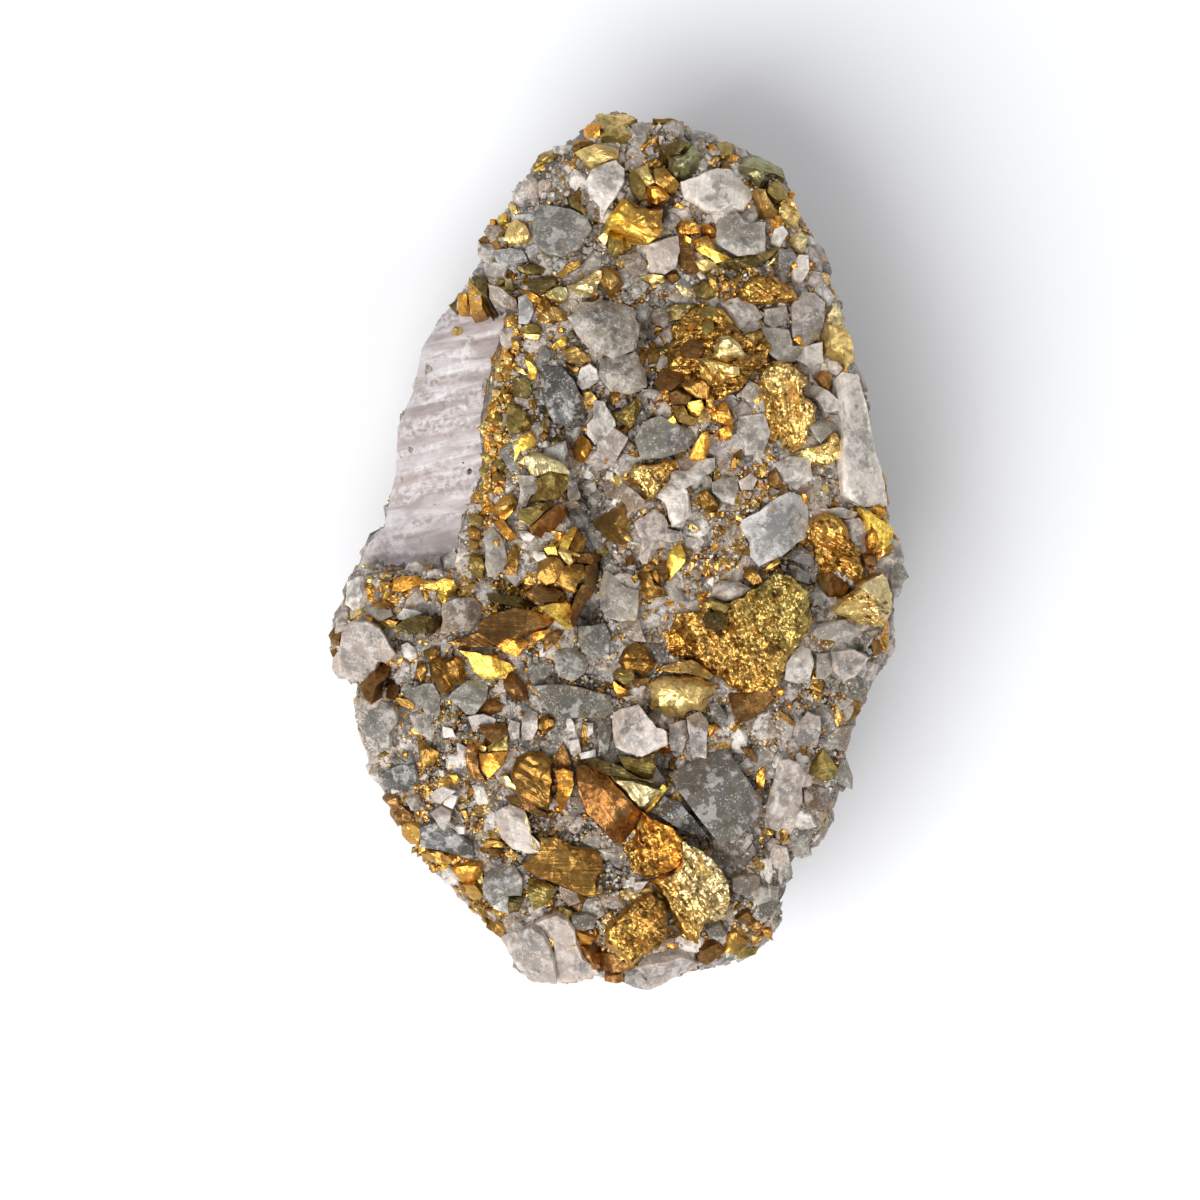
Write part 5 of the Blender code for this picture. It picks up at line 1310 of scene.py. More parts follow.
# %% Broad end, below -26 mm
BROAD_END = """
gold r 1.7 -22 -27.9 -21 -27.6 -19.9 -28.2 -20 -29.8 -21.2 -29.8 -21.8 -29
gold r 1.9 -20 -30.6 -18.6 -30.5 -16.8 -30.8 -16.6 -31.6 -18 -31.8 -19.6 -31.6
orange f 1.9 -16.9 -32.2 -15.2 -31.9 -13.7 -32 -13.8 -33.2 -14.4 -34 -15.8 -33.6
gold f 1.8 -15.6 -33.8 -14.4 -33.9 -13.6 -34.9 -14.2 -36 -15 -35.2
amber r 1.9 -14 -36.6 -12.8 -36.2 -12 -37.6 -11.2 -38.2 -11.8 -39.6 -13.2 -38.4
quartz b 1.8 -13.6 -33.4 -12.2 -31.6 -10.4 -31.8 -9.6 -33.2 -9.6 -35 -11 -35 -12.6 -36 -13.6 -34.8
blue b 2.0 -13.4 -35 -12.2 -34.2 -11 -35.2 -11 -36.8 -12.4 -36.4
dark f 1.9 -11 -35 -9.4 -35 -10 -36.6 -11 -36.8
slate b 1.7 -20 -28 -17.8 -27.4 -16.4 -28.6 -14.6 -30 -14.2 -31.6 -17 -30.6 -20 -30
white b 1.8 -16.6 -28 -15.4 -28 -15.4 -28.8 -16.2 -28.7
gold f 2.0 -13.6 -29.8 -13.1 -29.3 -12 -29.3 -11.4 -29.7 -11.6 -30.1 -12.8 -30 -13.3 -30.6
brown f 1.7 -13.2 -30.2 -11.6 -30 -11.8 -31 -12.8 -31.2
pink b 2.8 -12.2 -26.4 -10.8 -25.6 -9.4 -26.2 -8.8 -27.4 -8.6 -28.8 -7.8 -29.6 -7.6 -30.6 -9 -30.6 -10.6
 -30.2 -11.6 -29.2 -12.2 -27.8
silver f 2.9 -9.2 -26.4 -8.6 -29 -7.8 -30.4 -8.6 -30.1 -9.4 -28.6
brown f 2.3 -11.4 -24.9 -10 -24.8 -7 -26.6 -6.6 -27.2 -8.6 -26.6 -9.4 -26 -11 -25.4
amber f@60 2.9 -9.7 -31.9 -8.6 -30.8 -7.8 -30.4 -7.9 -29 -6.4 -29 -5.4 -29.2 -4.4 -29.9 -2.6 -30.1 -1.7
 -30.6 -1.4 -32.2 -2.2 -33.2 -2 -34.9 -3.2 -34.8 -4.4 -34.4 -5.4 -33.9 -6.8 -33.4 -8.4 -32.8
olive f 2.0 -9 -32.9 -7 -33.6 -6 -34 -6.4 -35 -7.2 -35.8 -8.4 -36.4 -9 -35
gold f 2.1 -7.8 -35.4 -6.2 -34.8 -7 -35.8
tan b 2.0 -5.8 -33.9 -4 -34.6 -3.6 -35.6 -4.8 -36 -5.8 -35
smoke b 2.0 -4.6 -37 -3 -36.8 -2 -37.2 -2.4 -38.4 -3.4 -38.6 -4.6 -37.8
lilac b 2.3 1.8 -33.6 3.2 -33.4 2.4 -34.6 1.8 -34.6
olive f 2.0 -6 -36 -4.6 -36.4 -4.4 -37.2 -4.8 -37.6 -5.8 -36.8
orange f 2.0 -4.2 -38.5 -3.2 -39 -2.1 -39.3 -2.6 -40 -3.6 -40
lilac b 1.9 -11.6 -39.2 -10.6 -38.7 -8.6 -38.2 -7.4 -39 -6.8 -40.2 -6.4 -42 -6.1 -44 -7.6 -44 -9 -43.8
 -10 -42.6 -11 -41
pink b 2.0 -8.6 -38 -7.2 -37.3 -6 -36.9 -5 -37.4 -4.3 -38.6 -4.1 -40 -3.4 -41.6 -2.2 -42.6 -1.8 -43.2
 -2.6 -43.6 -4.4 -44 -6.2 -44 -6.4 -42 -6.4 -40 -7 -38.8
gold f 2.2 -7.3 -38.9 -6.1 -38.8 -6.3 -40 -6.7 -40.3
rust d 1.6 -4 -40 -2.8 -39.8 -1.8 -41 -1.4 -42.8 -2.6 -42.6
brown f 1.7 -2 -41 -.4 -41 1 -42 2.2 -42.2 1.2 -42.8 -.6 -43 -1.8 -42.4
rust f@45 1.7 -1 -43.2 .6 -43 .8 -44 -.4 -44 -1.2 -43.8
tan f 3.6 3.4 -38 5 -38 5.1 -40.4 3.6 -40.8
lilac b 1.9 .8 -43.4 2 -42.4 3.4 -41.9 5 -41.7 6.4 -41.2 7.2 -41.4 8.4 -42 8 -42.5 6.6 -42.9 5 -43.9 3.4
 -44.7 1.6 -44.5 .7 -44
smoke b 1.6 16 -32.3 17.5 -32.1 18 -33.4 17.2 -34 16.2 -33.4
grey b 1.6 13.6 -34.6 14.6 -34 16 -34.6 15.6 -35.6 14.2 -36
smoke b 1.7 14.2 -36 15.6 -35.6 16.2 -36.6 15 -37.8 13.8 -37.2
tan b 1.7 11.6 -33.2 12.6 -32.9 14.6 -33 14.4 -34.2 13.2 -35 11.8 -34.6
gold f@60 1.9 11.1 -38.8 12 -38.6 13.4 -39.8 13.2 -40.4 12.4 -41 10.9 -40.9 11.2 -40
olive f 1.6 12.4 -40.8 13.6 -40.4 14.4 -40.6 14.2 -41.1 13 -41.6 12.4 -41.5
orange f 1.6 14.6 -38.4 15.6 -38.6 16 -39.8 15.2 -39.4
brown f 1.7 12 -37.4 13.4 -36.6 14.2 -37.4 13.4 -38.2
brown f@45 1.8 8.4 -40.6 10.4 -39.8 11 -40.8 10 -41.6 9.2 -42.2 8.2 -41.8
smoke b 1.8 9 -38.4 10.6 -37.8 11.2 -38.8 10.6 -39.6 9.4 -39.4
"""

# %% [markdown]
# ## The big rippled masses
# Chalcopyrite that filled a gap has no flat faces. It froze in ripples like crumpled foil.
# These shapes use the same rings with a finer step, and the ripple form folds them. The same
# table holds a few lumps and facets that stand on the masses.

# %% Rippled masses
RIPPLED = """
olive/gold r@228 3.4 4.9 -8.6 5.6 -7.2 6 -6.4 7.2 -6.2 8.5 -6.2 9.8 -5.2 11.4 -5.2 12.6 -4.8 13.2 -4.2
 14.8 -3.4 15.4 -2.6 16.6 -2.4 17.6 -2.5 18.2 -3.2 19.2 -4 19.5 -6.5 19.6 -8.2 18.6 -9 18 -10.2 17 -11.2
 16.8 -12.4 16 -13.6 15 -14.3 12.6 -14.4 11.4 -13.6 10.2 -12.6 8.8 -12.2 7.2 -11.2 5.4 -10.4
pale/gold r@215 2.8 14.2 18.6 15.6 19.2 17 18.9 19.4 17.4 18.8 15.6 20.2 14.6 20.2 13.2 19.3 12.2 19.2
 10.8 18 10 16.4 10.6 15.2 11.4 15.6 12.6 15 14 14.7 16.2
pale r@215 3.3 18 14.8 19.2 15.1 20.2 14.2 20 13.2 18.8 12.8 17.8 13.4
pale r@230 2.2 20.9 10.8 22.2 12 22.9 11.4 22.8 9.6 21.2 8.6 18.6 8.8 18.2 10
amber/gold r@232 1.6 4.4 15.6 4 17.4 5 19 5.4 21 5.8 22.8 7.2 24.2 8.8 24.8 10.4 24.4 11.4 23 12.6 22
 14.6 22.2 15.6 20.6 15 18.8 13.4 17.6 12.6 16.2 11 15.4 9.4 14.8 8.4 13.6 6.6 13.4 5 14
gold r@220 2.6 19.6 3 20.6 3.8 22.4 3.4 23.2 1.8 24 0 25 -1.6 24.6 -3 22.8 -2.2 21.2 -1.6 20 -.4 19.6 1.2
bright/orange r@215 2.6 25 4.3 26.4 3.6 28 2.6 27.4 .2 25.6 -.2 25.2 1.8
silver/gold r@215 2.4 21.4 -5.8 23 -4.6 24.8 -3.6 26.6 -2.4 27.6 -4 27.8 -6.2 26.6 -7.6 24 -7 22 -6.6
gold/pale r@215 2.4 1 7.4 1.8 8.8 3.6 8.6 5.4 9 6.1 8.2 4.8 7 4 5.4 3 5.2 2 6.4
gold r@225 2.6 12 26.2 13.6 27.6 15.6 27.9 17.4 26.8 18.4 25.4 16.4 25 14.4 24.9 12.6 25.2
orange/amber r@200 3.7 2.6 -26.4 5.6 -28 6.6 -29.2 6.8 -30.8 6 -32 4.4 -33 3 -33.2 1.6 -32.6 1.2 -31.2
 .5 -30.2 1.6 -28.8
silver/gold r@215 3.9 6.6 -29.2 8.6 -30.4 10 -31.4 11.2 -33.4 11.4 -35.4 11 -37 9 -37.8 8.2 -40 6.6 -39
 5.4 -37 4.4 -35 3.4 -33.4 4.8 -32.8 6.2 -31.8
amber/gold r@225 3.6 -1.2 -38.4 0 -37 1 -36 2 -35.2 3.4 -34.6 4.8 -35.6 5.2 -37.2 5.2 -39 4.4 -40.6 3.2
 -40.8 1.4 -42.1 0 -41 -1.2 -40
smoke/dark d@40 4.6 8.4 -6.9 9.2 -5.9 10.4 -5.8 11.4 -6.6 11.2 -7.8 9.8 -8.2 8.7 -7.8
dark d@40 4.7 15 -9.6 16 -9.3 16.6 -10 15.8 -10.6 15 -10.3
orange f@230 3.5 5.1 -8.6 6 -8.2 7 -9.4 6.2 -10.4 5.1 -10
"""

# %% Grow the crystals
tables = {"narrow_end": NARROW_END, "upper_middle": UPPER_MIDDLE, "middle": MIDDLE,
          "lower_middle": LOWER_MIDDLE, "broad_end": BROAD_END}
number = 1
sugary = Batch()
for place, table in tables.items():
    rows = rows_of(table)
    for kind, finish in (("chalcopyrite", BRASS), ("calcite", CALCITE)):
        crystals = Batch()
        number = grow(crystals, [row for row in rows if kind_of(row) == kind], number)
        crystals.piece(f"{kind}_crystals_{place}", finish, kind)
    number = grow(sugary, [row for row in rows if kind_of(row) == "sugary"], number)
sugary.piece("sugary_calcite_masses", SUGAR, "calcite", 45.0)
foil = Batch()
number = grow(foil, rows_of(RIPPLED), number, FINE_STEP)
foil.piece("rippled_chalcopyrite_masses", FOIL, "chalcopyrite", 50.0)

# %% [markdown]
# ## The smooth slab
# Left of the crust lies a smooth slab of banded calcite, lower than its surroundings, with
# thin paler veils that rise to the right. It is a profile carried along a path: each cross
# section is a flat loop, out along the top from the ragged left edge to the crust and back
# underneath, and the sections follow the long axis of the specimen.

# %% Slab
SLAB_TOP_Y, SLAB_END_Y = 26.3, -2.5
BAND_SLOPE = 0.21  # the bands rise this much to the right
BAND_WIDTH = 2.3
SLAB_THICKNESS = 3.2


def slab_surface(along=150, across=46):
    """Ring r is the cross section at one y. Its top runs from the left edge to the border in
    equal parts, and the underside back lower down. Height = the slab's plane, plus soft
    waves, plus steps where the veils end, plus a rise at the lower end. At the left edge the
    top rounds off, and the underside draws in."""
    y = np.linspace(SLAB_TOP_Y, SLAB_END_Y, along)[:, None]
    right = np.interp(y, SLAB_BORDER_Y, SLAB_BORDER_X) + 1.6
    left_side = OUTLINE[OUTLINE[:, 0] < -8.0]
    left_side = left_side[left_side[:, 1] > -4.0]
    left = np.interp(y, left_side[:, 1], left_side[:, 0]) + 0.1
    outward = np.linspace(0.0, 1.0, across)
    share = np.concatenate([outward, outward[::-1]])[None, :]
    x = left + (right - left) * share
    upper = np.concatenate([np.ones(across), np.zeros(across)])[None, :]
    spot = np.stack([x, y * np.ones_like(x), np.zeros_like(x)], -1)
    band = (y - BAND_SLOPE * (x + 20.0)) / BAND_WIDTH + 0.5 * noise(spot, 6.0, 83)
    ledge = smooth_step((band - np.floor(band)) / 0.85)
    top = slab_height(x) + 0.55 + 0.22 * layered(spot, 6.0, 81, 4) + 0.05 * ledge
    top = top + 2.2 * smooth_step((-0.3 - y) / 2.3)
    round_off = 1.4 * np.exp(-(x - left) / 0.7)
    lower = slab_height(x) - SLAB_THICKNESS
    spot[..., 0] += (1.0 - upper) * 3.0 * np.exp(-(x - left) / 2.0)
    spot[..., 2] = np.where(upper > 0.5, top - round_off, lower)
    lay = np.stack([spot[..., 0] + BAND_SLOPE * spot[..., 1],
                    spot[..., 1] - BAND_SLOPE * spot[..., 0], ledge], -1)
    return spot[::-1], lay[::-1], ledge[::-1]


def slab_finish():
    """Lavender-grey calcite with pale veils, threads and a winding vein along the bands, dusky
    clouds and small rust spots."""
    finish, tree, shader, place, tint, lay = finish_for(
        "banded calcite slab", 0.36, Coat_Weight=0.4, Coat_Roughness=0.25, IOR=1.55)
    sway = cloud(place, 5.0)
    bands = streaks(lay, (0.07, 0.42, 0.0), 0.6, 0.5)
    threads = streaks(lay, (0.16, 1.5, 0.0), 0.65, 0.9)
    small = cloud(place, 0.6, 0.6)
    colour = tint.brightened(0.66 + sway * 0.26 + small * 0.22)
    veils = (bands + threads * 0.25).stretched(0.58, 0.74)
    colour = blend(veils * 0.45, colour, linear(216, 210, 210))
    thread = threads.stretched(0.60, 0.70)
    colour = blend(thread * 0.25, colour, linear(234, 230, 230))
    winding = streaks(lay, (0.07, 0.30, 0.0), 0.62, 0.3)
    vein = winding.stretched(0.40, 0.50) * (1.0 - winding.stretched(0.50, 0.60))
    colour = blend(vein * small.stretched(0.35, 0.65) * 0.6, colour, linear(222, 217, 218))
    dusk = cloud(place, 2.6).stretched(0.55, 0.70)
    colour = blend(dusk * 0.45, colour, linear(148, 134, 132))
    rust = cloud(place, 0.9, 0.65).stretched(0.66, 0.72)
    colour = blend(rust * 0.7, colour, linear(150, 106, 66))
    wire_up(tree, shader, bands * 0.05 + threads * 0.04 + small * 0.06, Base_Color=colour,
            Roughness=0.30 + small * 0.2 + thread * 0.1)
    return finish


rings, lay, ledge = slab_surface()
dusky = 1.06 - 0.22 * smooth_step((rings[..., 1] - 2.0) / 14.0)
colour = np.array(linear(174, 159, 155)) * (dusky * (0.94 + 0.08 * ledge))[..., None]
ends = np.stack([rings[0].mean(axis=0), rings[-1].mean(axis=0)])
slab = Batch()
slab.add(rings[None], ends[:1], ends[1:],
         np.concatenate([colour.reshape(-1, 3), colour[[0, -1], 0]])[None],
         np.concatenate([lay.reshape(-1, 3), lay[[0, -1], 0]])[None])
slab.piece("banded_calcite_slab", slab_finish(), "calcite", 35.0)

# %% [markdown]
# ## Grains between the crystals
# The gaps are packed with loose-looking grains that are really small crystals of the same
# minerals. Thousands of them are needed, so each has only three or four rings of four to seven
# points. All are worked out at once: the whole array of grains is scaled, tilted and moved
# together. Grains that would stand inside a listed crystal are left out. On the face each
# region has its own mix of minerals. The flank, the rim and the walls of the hollows get
# broken blocks instead, turned to face out of the break, with ore where a vein runs through.

# %% Grains
CHANCE = np.random.default_rng(20)
SMALLEST_LEAN = 0.72  # a wall leans out more than this: the upward part of its facing is less


def outside_crystals(x, y, rows):
    """True where a place is in none of the listed outlines: a ray to the right crosses the
    sides of an outline an even number of times."""
    clear = np.ones(len(x), dtype=bool)
    for row in rows:
        corners = np.array(row.split()[3:], dtype=float).reshape(-1, 2)
        after = np.roll(corners, -1, axis=0)
        low, high = corners[:, 1], after[:, 1]
        spans = (low > y[:, None]) != (high > y[:, None])
        rise = np.where(high == low, 1.0, high - low)
        meets = corners[:, 0] + (y[:, None] - low) * (after[:, 0] - corners[:, 0]) / rise
        clear &= np.sum(spans & (x[:, None] < meets), axis=1) % 2 == 0
    return clear


# profiles: share of half the size outwards and height, ring by ring from the top
NUGGET = ((0.45, 0.34), (0.82, 0.27), (1.0, -0.04), (0.9, -0.7))
BLOCK = ((0.80, 0.25), (0.97, 0.20), (1.0, 0.05), (0.97, -0.6))
GRAIN = ((0.8, 0.75), (1.0, 0.1), (0.8, -0.9))
PEPPER = ((0.8, 0.75), (1.0, 0.1), (0.8, -2.6))
SHARD = ((0.35, 0.75), (1.0, 0.1), (0.8, -0.9))


def grains(x, y, size, tint, profile, sides, lift, lean_most):
    """Every grain is one ring of sides points for each (share, height) of the profile, times
    half its size, with each point pushed out or in by chance. The grain is turned about its
    own axis, and tilted about a level axis by up to lean_most radians. It stands lift times
    its size above the ground. Returns rings, both poles, tint with painted shade on each
    grain's lower part, and lay."""
    count, rows = len(x), len(profile)
    share, height = np.array(profile).T
    turn = (np.arange(sides) + 0.4 * CHANCE.random((count, 1, sides))) * 2.0 * math.pi / sides
    corner = 0.72 + 0.5 * CHANCE.random((count, 1, sides))
    wide = share[:, None] * corner * (0.9 + 0.2 * CHANCE.random((count, rows, sides)))
    long = 1.0 + 0.7 * CHANCE.random((count, 1, 1))
    px = wide * np.cos(turn) * long
    py = wide * np.sin(turn)
    pz = height[:, None] + 0.12 * (CHANCE.random((count, rows, sides)) - 0.5)
    local = np.stack([px, py, pz], -1).reshape(count, -1, 3)
    ends = np.tile((height[0] + 0.04, height[-1] - 0.1), (count, 1))
    poles = np.stack([0.0 * ends, 0.0 * ends, ends], -1)
    local = np.concatenate([local, poles], axis=1) * (0.5 * size)[:, None, None]
    yaw, spin = CHANCE.random((2, count)) * 2.0 * math.pi
    pitch = (2.0 * CHANCE.random(count) - 1.0) * lean_most
    c, s, cp, sp = np.cos(yaw), np.sin(yaw), np.cos(pitch), np.sin(pitch)
    zero, one = np.zeros(count), np.ones(count)
    lean = np.stack([np.stack([c, -s * cp, s * sp], -1), np.stack([s, c * cp, -c * sp], -1),
                     np.stack([zero, sp, cp], -1)], axis=1)
    face = np.stack([np.stack([np.cos(spin), -np.sin(spin), zero], -1),
                     np.stack([np.sin(spin), np.cos(spin), zero], -1),
                     np.stack([zero, zero, one], -1)], axis=1)
    turned = np.einsum("nij,njk,npk->npi", lean, face, local)
    placed = turned + np.stack([x, y, ground_height(x, y) + lift * size], -1)[:, None]
    # painted shade: the lower part of each grain is darkened by up to 0.55 of its tint
    dark = smooth_step((0.05 * size[:, None] - turned[..., 2]) / (0.5 * size[:, None]))
    shade = tint[:, None] * (1.0 - 0.55 * dark[..., None])
    lay = local + np.arange(count)[:, None, None] * 3.1
    body = placed[:, :-2].reshape(count, rows, sides, 3)
    return body, placed[:, -2], placed[:, -1], shade, lay


MIXES = {
    # mix: (tones, each as often as it comes up; smallest and largest grain in mm)
    "crust": ("grey grey lilac lilac lilac pink white tan quartz gold bronze pale orange amber",
              0.35, 1.0),
    "sugar": ("white white pink pink lilac lilac grey grey tan tan bronze gold brown", 0.22, 0.6),
    "druse": ("tan tan brown brown rust bronze bronze bronze gold gold amber lilac white orange",
              0.28, 0.8),
    "grey": ("grey grey grey lilac lilac lilac lilac blue blue white tan gold", 0.35, 1.0),
    "dusk": ("smoke smoke quartz quartz quartz tan grey brown bronze bronze gold lilac amber", 0.35, 1.0),
    "pepper": ("white white pink grey umber umber umber umber tan smoke smoke bronze gold orange",
               0.22, 0.45),
    "deep": ("quartz quartz quartz smoke grey blue olive tan", 0.4, 1.1),
    "gold": ("gold gold gold gold bright pale pale orange olive bronze amber lilac", 0.35, 1.3),
}
# ovals that get a mix of their own: mix, middle x and y, half width and half height
PLACES = """
grey -20 -10 9 7
dusk -17 -18 9 6
dusk -6 -16 9 6
dusk -15 -27 9 5
dusk 2 -22 6 3
dusk 18 -28 6 6
dusk 9 -28 5 3
dusk 21 -19 4 6
sugar -5 38 4 2.5
grey -6 32 5 4
sugar 11 36 4.5 3
druse 14 27 5.2 2.6
grey 18.5 23 3.5 4
grey 12 23.8 2.6 2
druse -10.8 26 1.3 3
gold -11.6 18 1.7 10
gold -12.9 8 1.9 6
sugar -1 21 4.6 5
deep 3.9 22.9 2.6 3.4
deep -5.5 15 3.2 4.5
deep -4.6 9 2.4 4
deep -2.6 5 3 3.5
deep -1.4 -1 2 3
gold 8.5 18.6 5 6
gold 17 14.6 3.4 5
druse 11 3 5 6.5
grey 13.6 13.4 2.2 4
sugar 18 8 2.6 2.8
sugar 7 5 3.4 4.5
grey 21.5 15 3 5
gold 21.5 1 2.6 3
gold 26 2 1.6 3
grey 22 -9 5 4
deep -10.4 -3.8 2.6 1.6
gold -20 -4 7 1.4
gold -8 -5 5 3.4
grey -2 -9.5 5 4
sugar 15 -18.5 4.2 3.4
sugar 17 -24 3.4 4
dusk 22 -15 4 6
sugar -3 -19 3.4 3
sugar -2 -32 4 5.6
druse -13.3 -27 2.6 2.4
druse -18 -24 4.5 3.5
sugar -24 -18 3 4
gold -19 -31 5 1.4
gold -13 -37 2 2.6
druse -2.4 -41 2 2.4
dusk -12 -33 3.4 3.4
sugar -9.5 -26.5 1.6 3.4
sugar 3 -13 3 2
deep 6.5 -26.5 3 1.6
sugar 14 -31 4.4 2.6
druse 12 -37.5 4.5 4.5
"""


def dressed(tries, extent, only=None):
    """Chosen places on the face outside the listed crystals and the slab, each with the number
    of its local mix, a random tone of it as colour, and whether that tone is metallic. extent
    is the share of the outline that may be used. only names one mix for all places."""
    share = extent * np.sqrt(CHANCE.random(tries))
    turn = CHANCE.random(tries) * 2.0 * math.pi
    x = share * outline_reach(turn) * np.cos(turn)
    y = share * outline_reach(turn) * np.sin(turn)
    on_slab = (x < np.interp(y, SLAB_BORDER_Y, SLAB_BORDER_X) - 0.2) & (y > -1.7) & (y < 26.0)
    keep = outside_crystals(x, y, all_rows) & ~on_slab
    x, y = x[keep], y[keep]
    mix = np.zeros(len(x), dtype=int)
    wander = 0.5 * noise(np.stack([x, y, 0.0 * x], -1), 1.6, 91)
    for row in rows_of(PLACES):
        name, *numbers = row.split()
        px, py, rx, ry = map(float, numbers)
        mix[((x - px) / rx) ** 2 + ((y - py) / ry) ** 2 + wander < 1.0] = list(MIXES).index(name)
    if only:
        mix[:] = list(MIXES).index(only)
    tint, metal = np.zeros((len(x), 3)), np.zeros(len(x), dtype=bool)
    for number, (tones, _, _) in enumerate(MIXES.values()):
        here = np.flatnonzero(mix == number)
        pick = CHANCE.integers(0, len(tones.split()), len(here))
        tint[here] = np.array([TONES[tone][0] for tone in tones.split()])[pick]
        metal[here] = np.array([tone in BRASSY for tone in tones.split()])[pick]
    return x, y, mix, tint * (0.85 + 0.3 * CHANCE.random((len(x), 1))), metal


def turned_out(made, spot, out, lift):
    """Grains moved from the face to the break. Each one's own offsets from its place on the
    face become offsets along a level way, a way up the break, and the way out of it."""
    rings, first, last, shade, lay = made
    origin = np.stack([spot[:, 0], spot[:, 1], ground_height(spot[:, 0], spot[:, 1])], -1)
    level = np.stack([-out[:, 1], out[:, 0], np.zeros(len(out))], -1)
    level /= np.linalg.norm(level, axis=1)[:, None]
    frame_of = np.stack([level, np.cross(out, level), out], axis=1)
    home = spot + out * lift[:, None]
    def move(points):
        shape = points.shape
        offset = points.reshape(len(spot), -1, 3) - origin[:, None]
        placed = np.einsum("npi,nij->npj", offset, frame_of) + home[:, None]
        placed[..., 2] = np.maximum(placed[..., 2], 0.0)
        return placed.reshape(shape)
    return move(rings), move(first), move(last), shade, lay


BREAK_STONES = "white pink pink lilac lilac grey tan quartz"
BREAK_METALS = "gold gold bronze pale olive amber orange brown"
# rows of the shell: each table gives the rows it takes places from, how many, the least and
# the most size, the profile and the points in a ring
FLANK_ROWS, RIM_ROWS, WALL_ROWS = (130, 172), (116, 142), (30, 118)
BREAK_GRAINS = (
    (FLANK_ROWS, 420, 2.4, 6.0, BLOCK, 5), (FLANK_ROWS, 600, 1.0, 2.6, BLOCK, 5),
    (FLANK_ROWS, 900, 0.35, 0.9, GRAIN, 4), (RIM_ROWS, 1250, 0.8, 2.2, BLOCK, 5),
    (RIM_ROWS, 1100, 0.3, 0.8, GRAIN, 4), (WALL_ROWS, 6000, 0.4, 1.5, BLOCK, 5),
)
all_rows = [row for table in (*tables.values(), RIPPLED) for row in rows_of(table)]
brassy, pale = Batch(), Batch()
x, y, mix, tint, metal = dressed(4200, 0.97)
size = 1.1 + 1.7 * CHANCE.random(len(x)) ** 1.6
for batch, mask in ((brassy, metal & (size < 2.2)), (pale, ~metal)):
    batch.add(*grains(x[mask], y[mask], size[mask], tint[mask], NUGGET, 7, -0.02, 0.45))
x, y, mix, tint, metal = dressed(26000, 0.985)
fine = np.isin(mix, [list(MIXES).index(name) for name in ("sugar", "druse", "gold")])
kept = fine | (CHANCE.random(len(x)) < 0.62)
x, y, mix, tint, metal = x[kept], y[kept], mix[kept], tint[kept], metal[kept]
smallest, largest = (np.array([values[k] for values in MIXES.values()])[mix] for k in (1, 2))
size = smallest + (largest - smallest) * CHANCE.random(len(x)) ** 2.4
for batch, mask, profile in ((brassy, metal, SHARD), (pale, ~metal, GRAIN)):
    batch.add(*grains(x[mask], y[mask], size[mask], tint[mask], profile, 4, 0.15, 0.7))
sugar = Batch()
x, y, mix, tint, metal = dressed(15000, 0.97, "pepper")
size = 0.22 + 0.24 * CHANCE.random(len(x))
for batch, mask in ((brassy, metal), (sugar, ~metal)):
    batch.add(*grains(x[mask], y[mask], size[mask], tint[mask], PEPPER, 4, 0.75, 0.5))
sugar.piece("sugar_grains", SUGAR, "calcite", 20.0)
broken = Batch()
for rows, count, least, most, profile, sides in BREAK_GRAINS:
    row = CHANCE.integers(*rows, count)
    column = CHANCE.integers(0, ROCK_POINTS.shape[1], count)
    spot = ROCK_POINTS[row, column]
    around = (column + 3) % ROCK_POINTS.shape[1]
    out = np.cross(ROCK_POINTS[row + 3, column] - ROCK_POINTS[row - 3, column],
                   ROCK_POINTS[row, around] - ROCK_POINTS[row, column - 3])
    out /= np.linalg.norm(out, axis=1)[:, None]
    if rows == WALL_ROWS:
        kept = (out[:, 2] < SMALLEST_LEAN) & outside_crystals(spot[:, 0], spot[:, 1], all_rows)
        spot, out, count = spot[kept], out[kept], int(kept.sum())
    vein = noise(spot, 7.0, 97) + 0.4 * noise(spot, 2.0, 98) + 0.35 * (rows == WALL_ROWS)
    metal = vein + 0.25 * CHANCE.standard_normal(count) > 0.38
    pick = CHANCE.integers(0, 8, count)
    tints = np.where(metal[:, None],
                     np.array([TONES[tone][0] for tone in BREAK_METALS.split()])[pick],
                     np.array([TONES[tone][0] for tone in BREAK_STONES.split()])[pick])
    tints = tints * (0.85 + 0.3 * CHANCE.random((count, 1)))
    size = least + (most - least) * CHANCE.random(count) ** 2.0
    size = np.minimum(size, 0.9 + 0.35 * np.abs(spot[:, 2] - 20.5))
    size = np.where(metal, np.minimum(size, 2.8), size)
    for batch, mask in ((brassy, metal), (broken, ~metal)):
        made = grains(spot[mask, 0], spot[mask, 1], size[mask], tints[mask], profile, sides,
                      0.0, 0.30)
        batch.add(*turned_out(made, spot[mask], out[mask], -0.05 * size[mask]))
    print("grains on rows", rows, "of the shell:", count)
broken.piece("broken_stone_blocks", SUGAR, "calcite", 20.0)
brassy.piece("brassy_grains", GRAIN_BRASS, "chalcopyrite", 20.0)
pale.piece("pale_grains", SUGAR, "calcite", 20.0)

# %% [markdown]
# ## Floor, lamp and camera
# The specimen lies on a plain pale floor. A soft lamp from the lower left makes the facets
# that look that way flash, a weaker one from the right opens the shadows, and the room is
# darker at the upper right, which is what the dark facets mirror. The camera looks straight
# down, as far away as it takes to see the face without much perspective. Light is followed
# for four bounces, since later ones only cost time in the gaps.

# %% Floor, lamp and camera
scene = bpy.context.scene
scene.view_settings.view_transform = "Standard"
LIGHT_BOUNCES = 4
scene.cycles.max_bounces = LIGHT_BOUNCES
FLOOR_HALF = 1.5
VIEW_WIDTH, VIEW_HEIGHT_ABOVE = 0.1216, 0.55
FACE_LEVEL = 0.026
SENSOR = 36.0

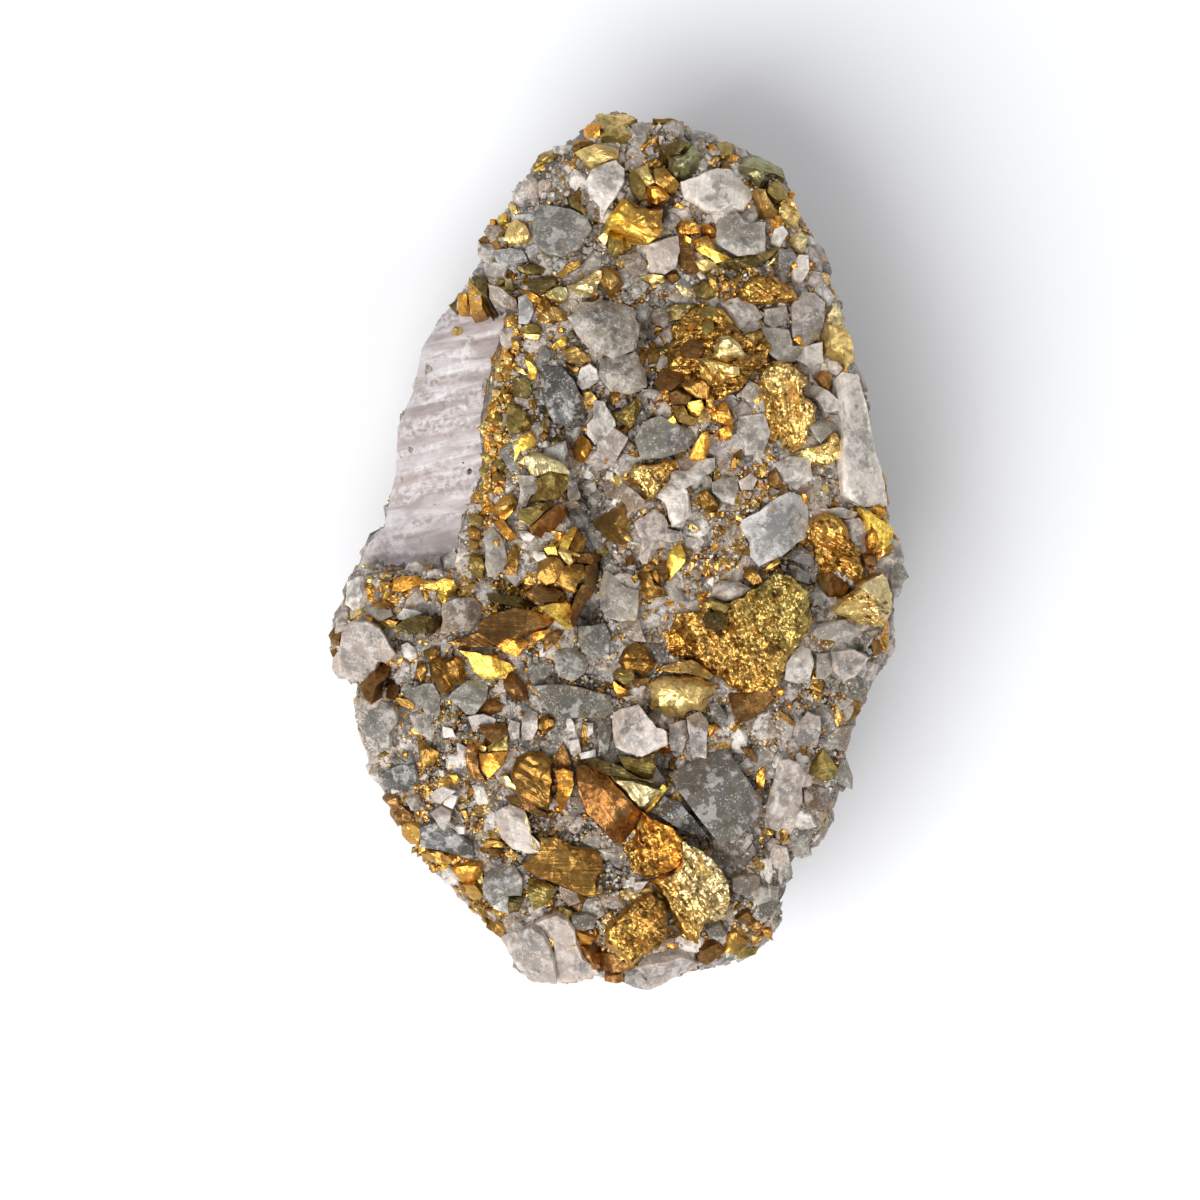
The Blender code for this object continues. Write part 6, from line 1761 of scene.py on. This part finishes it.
floor_mesh = bpy.data.meshes.new("floor")
floor_corners = [(FLOOR_HALF * x, FLOOR_HALF * y, 0.0) for x, y in ((-1, -1), (1, -1), (1, 1), (-1, 1))]
floor_mesh.from_pydata(floor_corners, [], [(0, 1, 2, 3)])
floor = bpy.data.objects.new("floor", floor_mesh)
scene.collection.objects.link(floor)
floor_finish = bpy.data.materials.new("pale floor")
floor_finish.use_nodes = True
floor_shader = floor_finish.node_tree.nodes["Principled BSDF"]
floor_shader.inputs["Base Color"].default_value = (0.84, 0.85, 0.87, 1.0)
floor_shader.inputs["Roughness"].default_value = 0.9
floor_mesh.materials.append(floor_finish)


def lamp(name, facing, lean, distance, size, power):
    """Square soft lamp that looks at the middle of the crystal face from the way given."""
    light = bpy.data.lights.new(name, "AREA")
    light.shape = "SQUARE"
    light.size = size
    light.energy = power
    item = bpy.data.objects.new(name, light)
    item.rotation_mode = "XYZ"
    item.rotation_euler = (math.radians(lean), 0.0, math.radians(facing + 90.0))
    reach = distance * math.sin(math.radians(lean))
    item.location = (reach * math.cos(math.radians(facing)), reach * math.sin(math.radians(facing)),
                     FACE_LEVEL + distance * math.cos(math.radians(lean)))
    scene.collection.objects.link(item)


lamp("key", 228.0, 38.0, 0.8, 0.66, 7.4)
lamp("fill", 20.0, 55.0, 0.9, 0.45, 1.5)

world = bpy.data.worlds.new("room")
world.use_nodes = True
room = world.node_tree
way = add(room, "ShaderNodeTexCoord", {}, {}, 0)
glow = add(room, "ShaderNodeVectorMath", {"operation": "DOT_PRODUCT"},
           {0: way, 1: (-0.45, -0.45, 0.55)}, 1)
room.nodes["Background"].inputs["Strength"].default_value = 1.0
level = blend((glow * 0.5 + 0.5).stretched(0.15, 0.95), (0.27, 0.27, 0.275), (0.58, 0.585, 0.60))
room.links.new(level.socket, room.nodes["Background"].inputs["Color"])
scene.world = world

lens = bpy.data.cameras.new("camera")
lens.sensor_width = SENSOR
lens.lens = SENSOR * VIEW_HEIGHT_ABOVE / VIEW_WIDTH
camera = bpy.data.objects.new("camera", lens)
camera.location = (-0.0017, -0.0050, FACE_LEVEL + VIEW_HEIGHT_ABOVE)
scene.collection.objects.link(camera)
scene.camera = camera
print("camera lens in mm:", round(lens.lens, 1))
